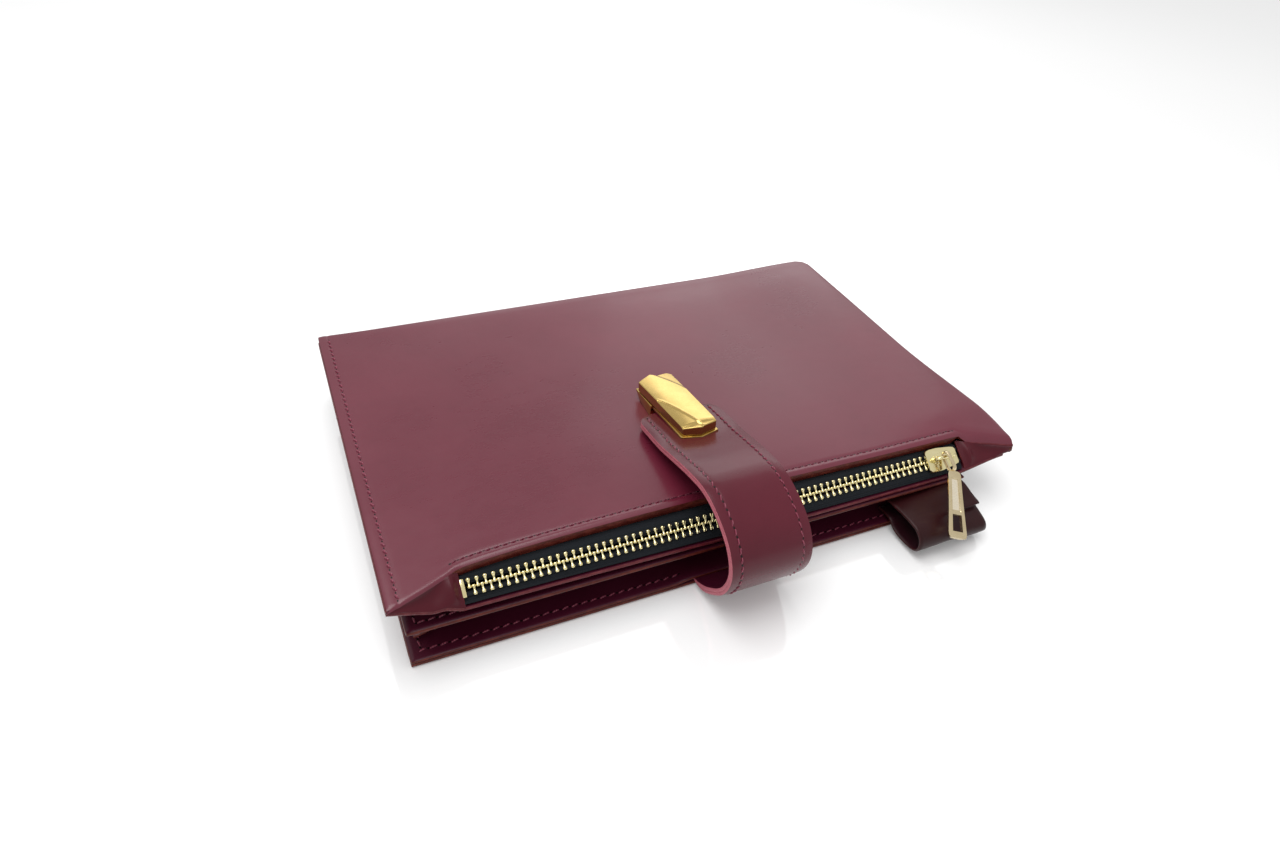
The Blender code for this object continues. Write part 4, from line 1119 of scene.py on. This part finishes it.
def make_clasp():
    """The gold bar with its swept facets, the plate under it and the block on the top panel."""
    tilt = math.radians(-7)
    near = np.array((STRAP_MIDDLE, 40.0, TOP + 8.6))
    turn = np.array(Matrix.Rotation(tilt, 3, "X"))

    def place(u, v, w):
        return near + turn @ np.array((u, v, w))

    half, length, low, thick = BAR_HALF, BAR_LENGTH, 1.0, 4.9
    rows = []
    for share in np.linspace(-1, 1, 49):
        u = share * half
        start = -1.6 + 2.3 * abs(share)
        end = np.interp(u, (-half, -1.5, 1.0, half - 2.0, half),
                        (length - 4.0, length, length - 1.8, length - 0.5, length - 2.0))
        line = []
        for t in np.linspace(0, 1, 93):
            v = start + (end - start) * t
            line.append(place(u * (0.93 + 0.1 * t) - 1.0 * t, v, low + thick + bar_relief(u, v)))
        rows.append(line)
    build = Build(GOLD)
    slab_straight(build, np.array(rows), turn @ np.array(UP), place(0, 0, low))
    bar = build.piece("clasp_bar_shell", "clasp_bar", "polished_gold", "strap_tongue", sharp=24)
    soften(bar, 0.28, 50)

    build = Build(GOLD)
    wide, far = half + 0.75, 26.0
    outline = ((0, -2.35), (wide - 0.5, 0.2), (wide, far), (-wide, far), (-wide + 0.5, 0.2))
    prism(build, outline, -0.45, 0.85, place, soft=0.3)
    build.piece("clasp_plate", "clasp_frame", "polished_gold", "strap_tongue", sharp=40)

    low_corner, high_corner = node_box("clasp_base")
    y0, y1 = low_corner[1] - 0.6, high_corner[1] + 3.2
    x0, x1 = STRAP_MIDDLE - half - 1.3, STRAP_MIDDLE + half - 1.6

    def under(y):
        """Height of the bar's underside above y, less a hair's gap."""
        return near[2] + (y - near[1]) * math.tan(tilt) + low - 0.35

    outline = [(y0, TOP + 0.05), (y1 - 5.5, TOP + 0.05), (y1, under(y1)), (y0, under(y0))]
    build = Build(GOLD)
    prism(build, outline, x0, x1, lambda u, v, w: np.array((w, u, v)), soft=0.4)
    build.piece("clasp_block", "clasp_base", "polished_gold", sharp=35)


def bar_relief(u, v):
    """Height of the bar's top face: two swept facets that fall away from shallow curved ridges."""
    half = BAR_HALF
    t = v / BAR_LENGTH
    sweep_left = -half + 2 * half * 0.55 * max(0.0, 1 - t / 0.54) ** 0.72
    left = max(0.0, sweep_left - u) if t < 0.54 else 0.0
    sweep_right = half - 2 * half * 0.55 * max(0.0, (t - 0.6) / 0.4) ** 1.25
    right = max(0.0, u - sweep_right) if t > 0.6 else 0.0
    crown = 0.35 * (1 - (u / half) ** 2)
    lip = 0.12 * bell(sweep_left - u, 0.4) if t < 0.54 else 0.0
    end = 0.5 * smoothstep((0.06 - t) / 0.06)
    step_left, step_right = 0.22 * smoothstep(left / 0.9), 0.2 * smoothstep(right / 0.9)
    return crown - 0.4 + lip - 0.05 * left - 0.035 * right - step_left - step_right - end


def slab_straight(build, grid, up, base):
    """A block whose top is a grid and whose walls drop straight to a flat underside at a base."""
    under = grid - ((grid - base) @ up)[..., None] * up
    rows, columns = grid.shape[:2]
    lower = rows * columns
    index = np.arange(lower).reshape(rows, columns)
    faces = grid_quads(index)
    loop = index[grid_border(rows, columns)]
    walls = [(a, b, b + lower, a + lower) for a, b in zip(loop, np.roll(loop, -1))]
    faces += [tuple(lower + v for v in reversed(quad)) for quad in faces]
    build.add(np.concatenate((grid.reshape(-1, 3), under.reshape(-1, 3))), faces + walls, 0)


make_zip()
make_slider()
make_pull()
make_strap()
make_clasp()

# CAD parts that stay as they are, with their finishes
for finish, nodes in (
        (STEEL, "clasp_magnet clasp_keeper clasp_washer clasp_rivet_1 clasp_rivet_2 base_screw_1 "
                "base_screw_2 clasp_back_plate"),
        (BOARD, "pouch_board rear_board"), (PINK_BACK, "strap_anchor")):
    for node in nodes.split():
        mesh = frame["nodes"][node].data
        mesh.materials.clear()
        mesh.materials.append(finish)


# ---------------------------------------------------------------- stage, light and camera
def make_stage():
    """A pale, slightly glossy floor."""
    s = Shader("pale_floor", (0.93, 0.93, 0.93), 0.08, IOR=2.4)
    s.drive("Roughness", s.ramp(s.noise(3, 2, 0.5), 0.3, 0.7, 0.07, 0.09))
    s.shader.inputs["Emission Color"].default_value = (1, 1, 1, 1)
    s.shader.inputs["Emission Strength"].default_value = 0.1
    size = 4.0
    mesh = bpy.data.meshes.new("floor")
    mesh.from_pydata([(-size, -size, -0.0003), (size, -size, -0.0003), (size, size, -0.0003),
                      (-size, size, -0.0003)], [], [(0, 1, 2, 3)])
    mesh.materials.append(s.material)
    floor = bpy.data.objects.new("floor", mesh)
    bpy.context.scene.collection.objects.link(floor)


def add_light(name, location, target, size, power, colour=(1, 1, 1)):
    light = bpy.data.lights.new(name, "AREA")
    light.shape = "RECTANGLE"
    light.size, light.size_y = size
    light.energy = power
    light.color = colour
    lamp = bpy.data.objects.new(name, light)
    lamp.location = location
    lamp.visible_camera = False
    lamp.rotation_euler = (Vector(target) - Vector(location)).to_track_quat("-Z", "Y").to_euler()
    bpy.context.scene.collection.objects.link(lamp)


def make_light():
    """White surroundings, one big softbox overhead and a weaker one behind on the right."""
    world = bpy.data.worlds.new("studio")
    world.use_nodes = True
    background = world.node_tree.nodes["Background"]
    background.inputs["Color"].default_value = (1, 1, 1, 1)
    background.inputs["Strength"].default_value = 0.72
    bpy.context.scene.world = world
    add_light("overhead", (-0.25, 0.1, 1.1), (0, 0, 0), (1.1, 0.8), 9.0)
    add_light("behind", (0.7, 0.9, 0.75), (0, 0, 0), (0.7, 0.5), 0.8)
    add_light("low_strip", (0.50, 1.15, 0.50), (0, 0, 0.03), (0.9, 0.28), 0.9)
    bpy.context.scene.view_settings.view_transform = "Standard"


def make_camera():
    """The camera looks down on the near left corner, turned a little to the right."""
    camera = bpy.data.cameras.new("camera")
    camera.lens = 23.479
    camera.sensor_width = 36.0
    camera.clip_start = 0.01
    eye = bpy.data.objects.new("camera", camera)
    eye.location = (-0.14334, -0.25920, 0.25489)
    eye.rotation_euler = [math.radians(a) for a in (51.222, -4.0455, -23.5836)]
    bpy.context.scene.collection.objects.link(eye)
    bpy.context.scene.camera = eye


make_stage()
make_light()
make_camera()
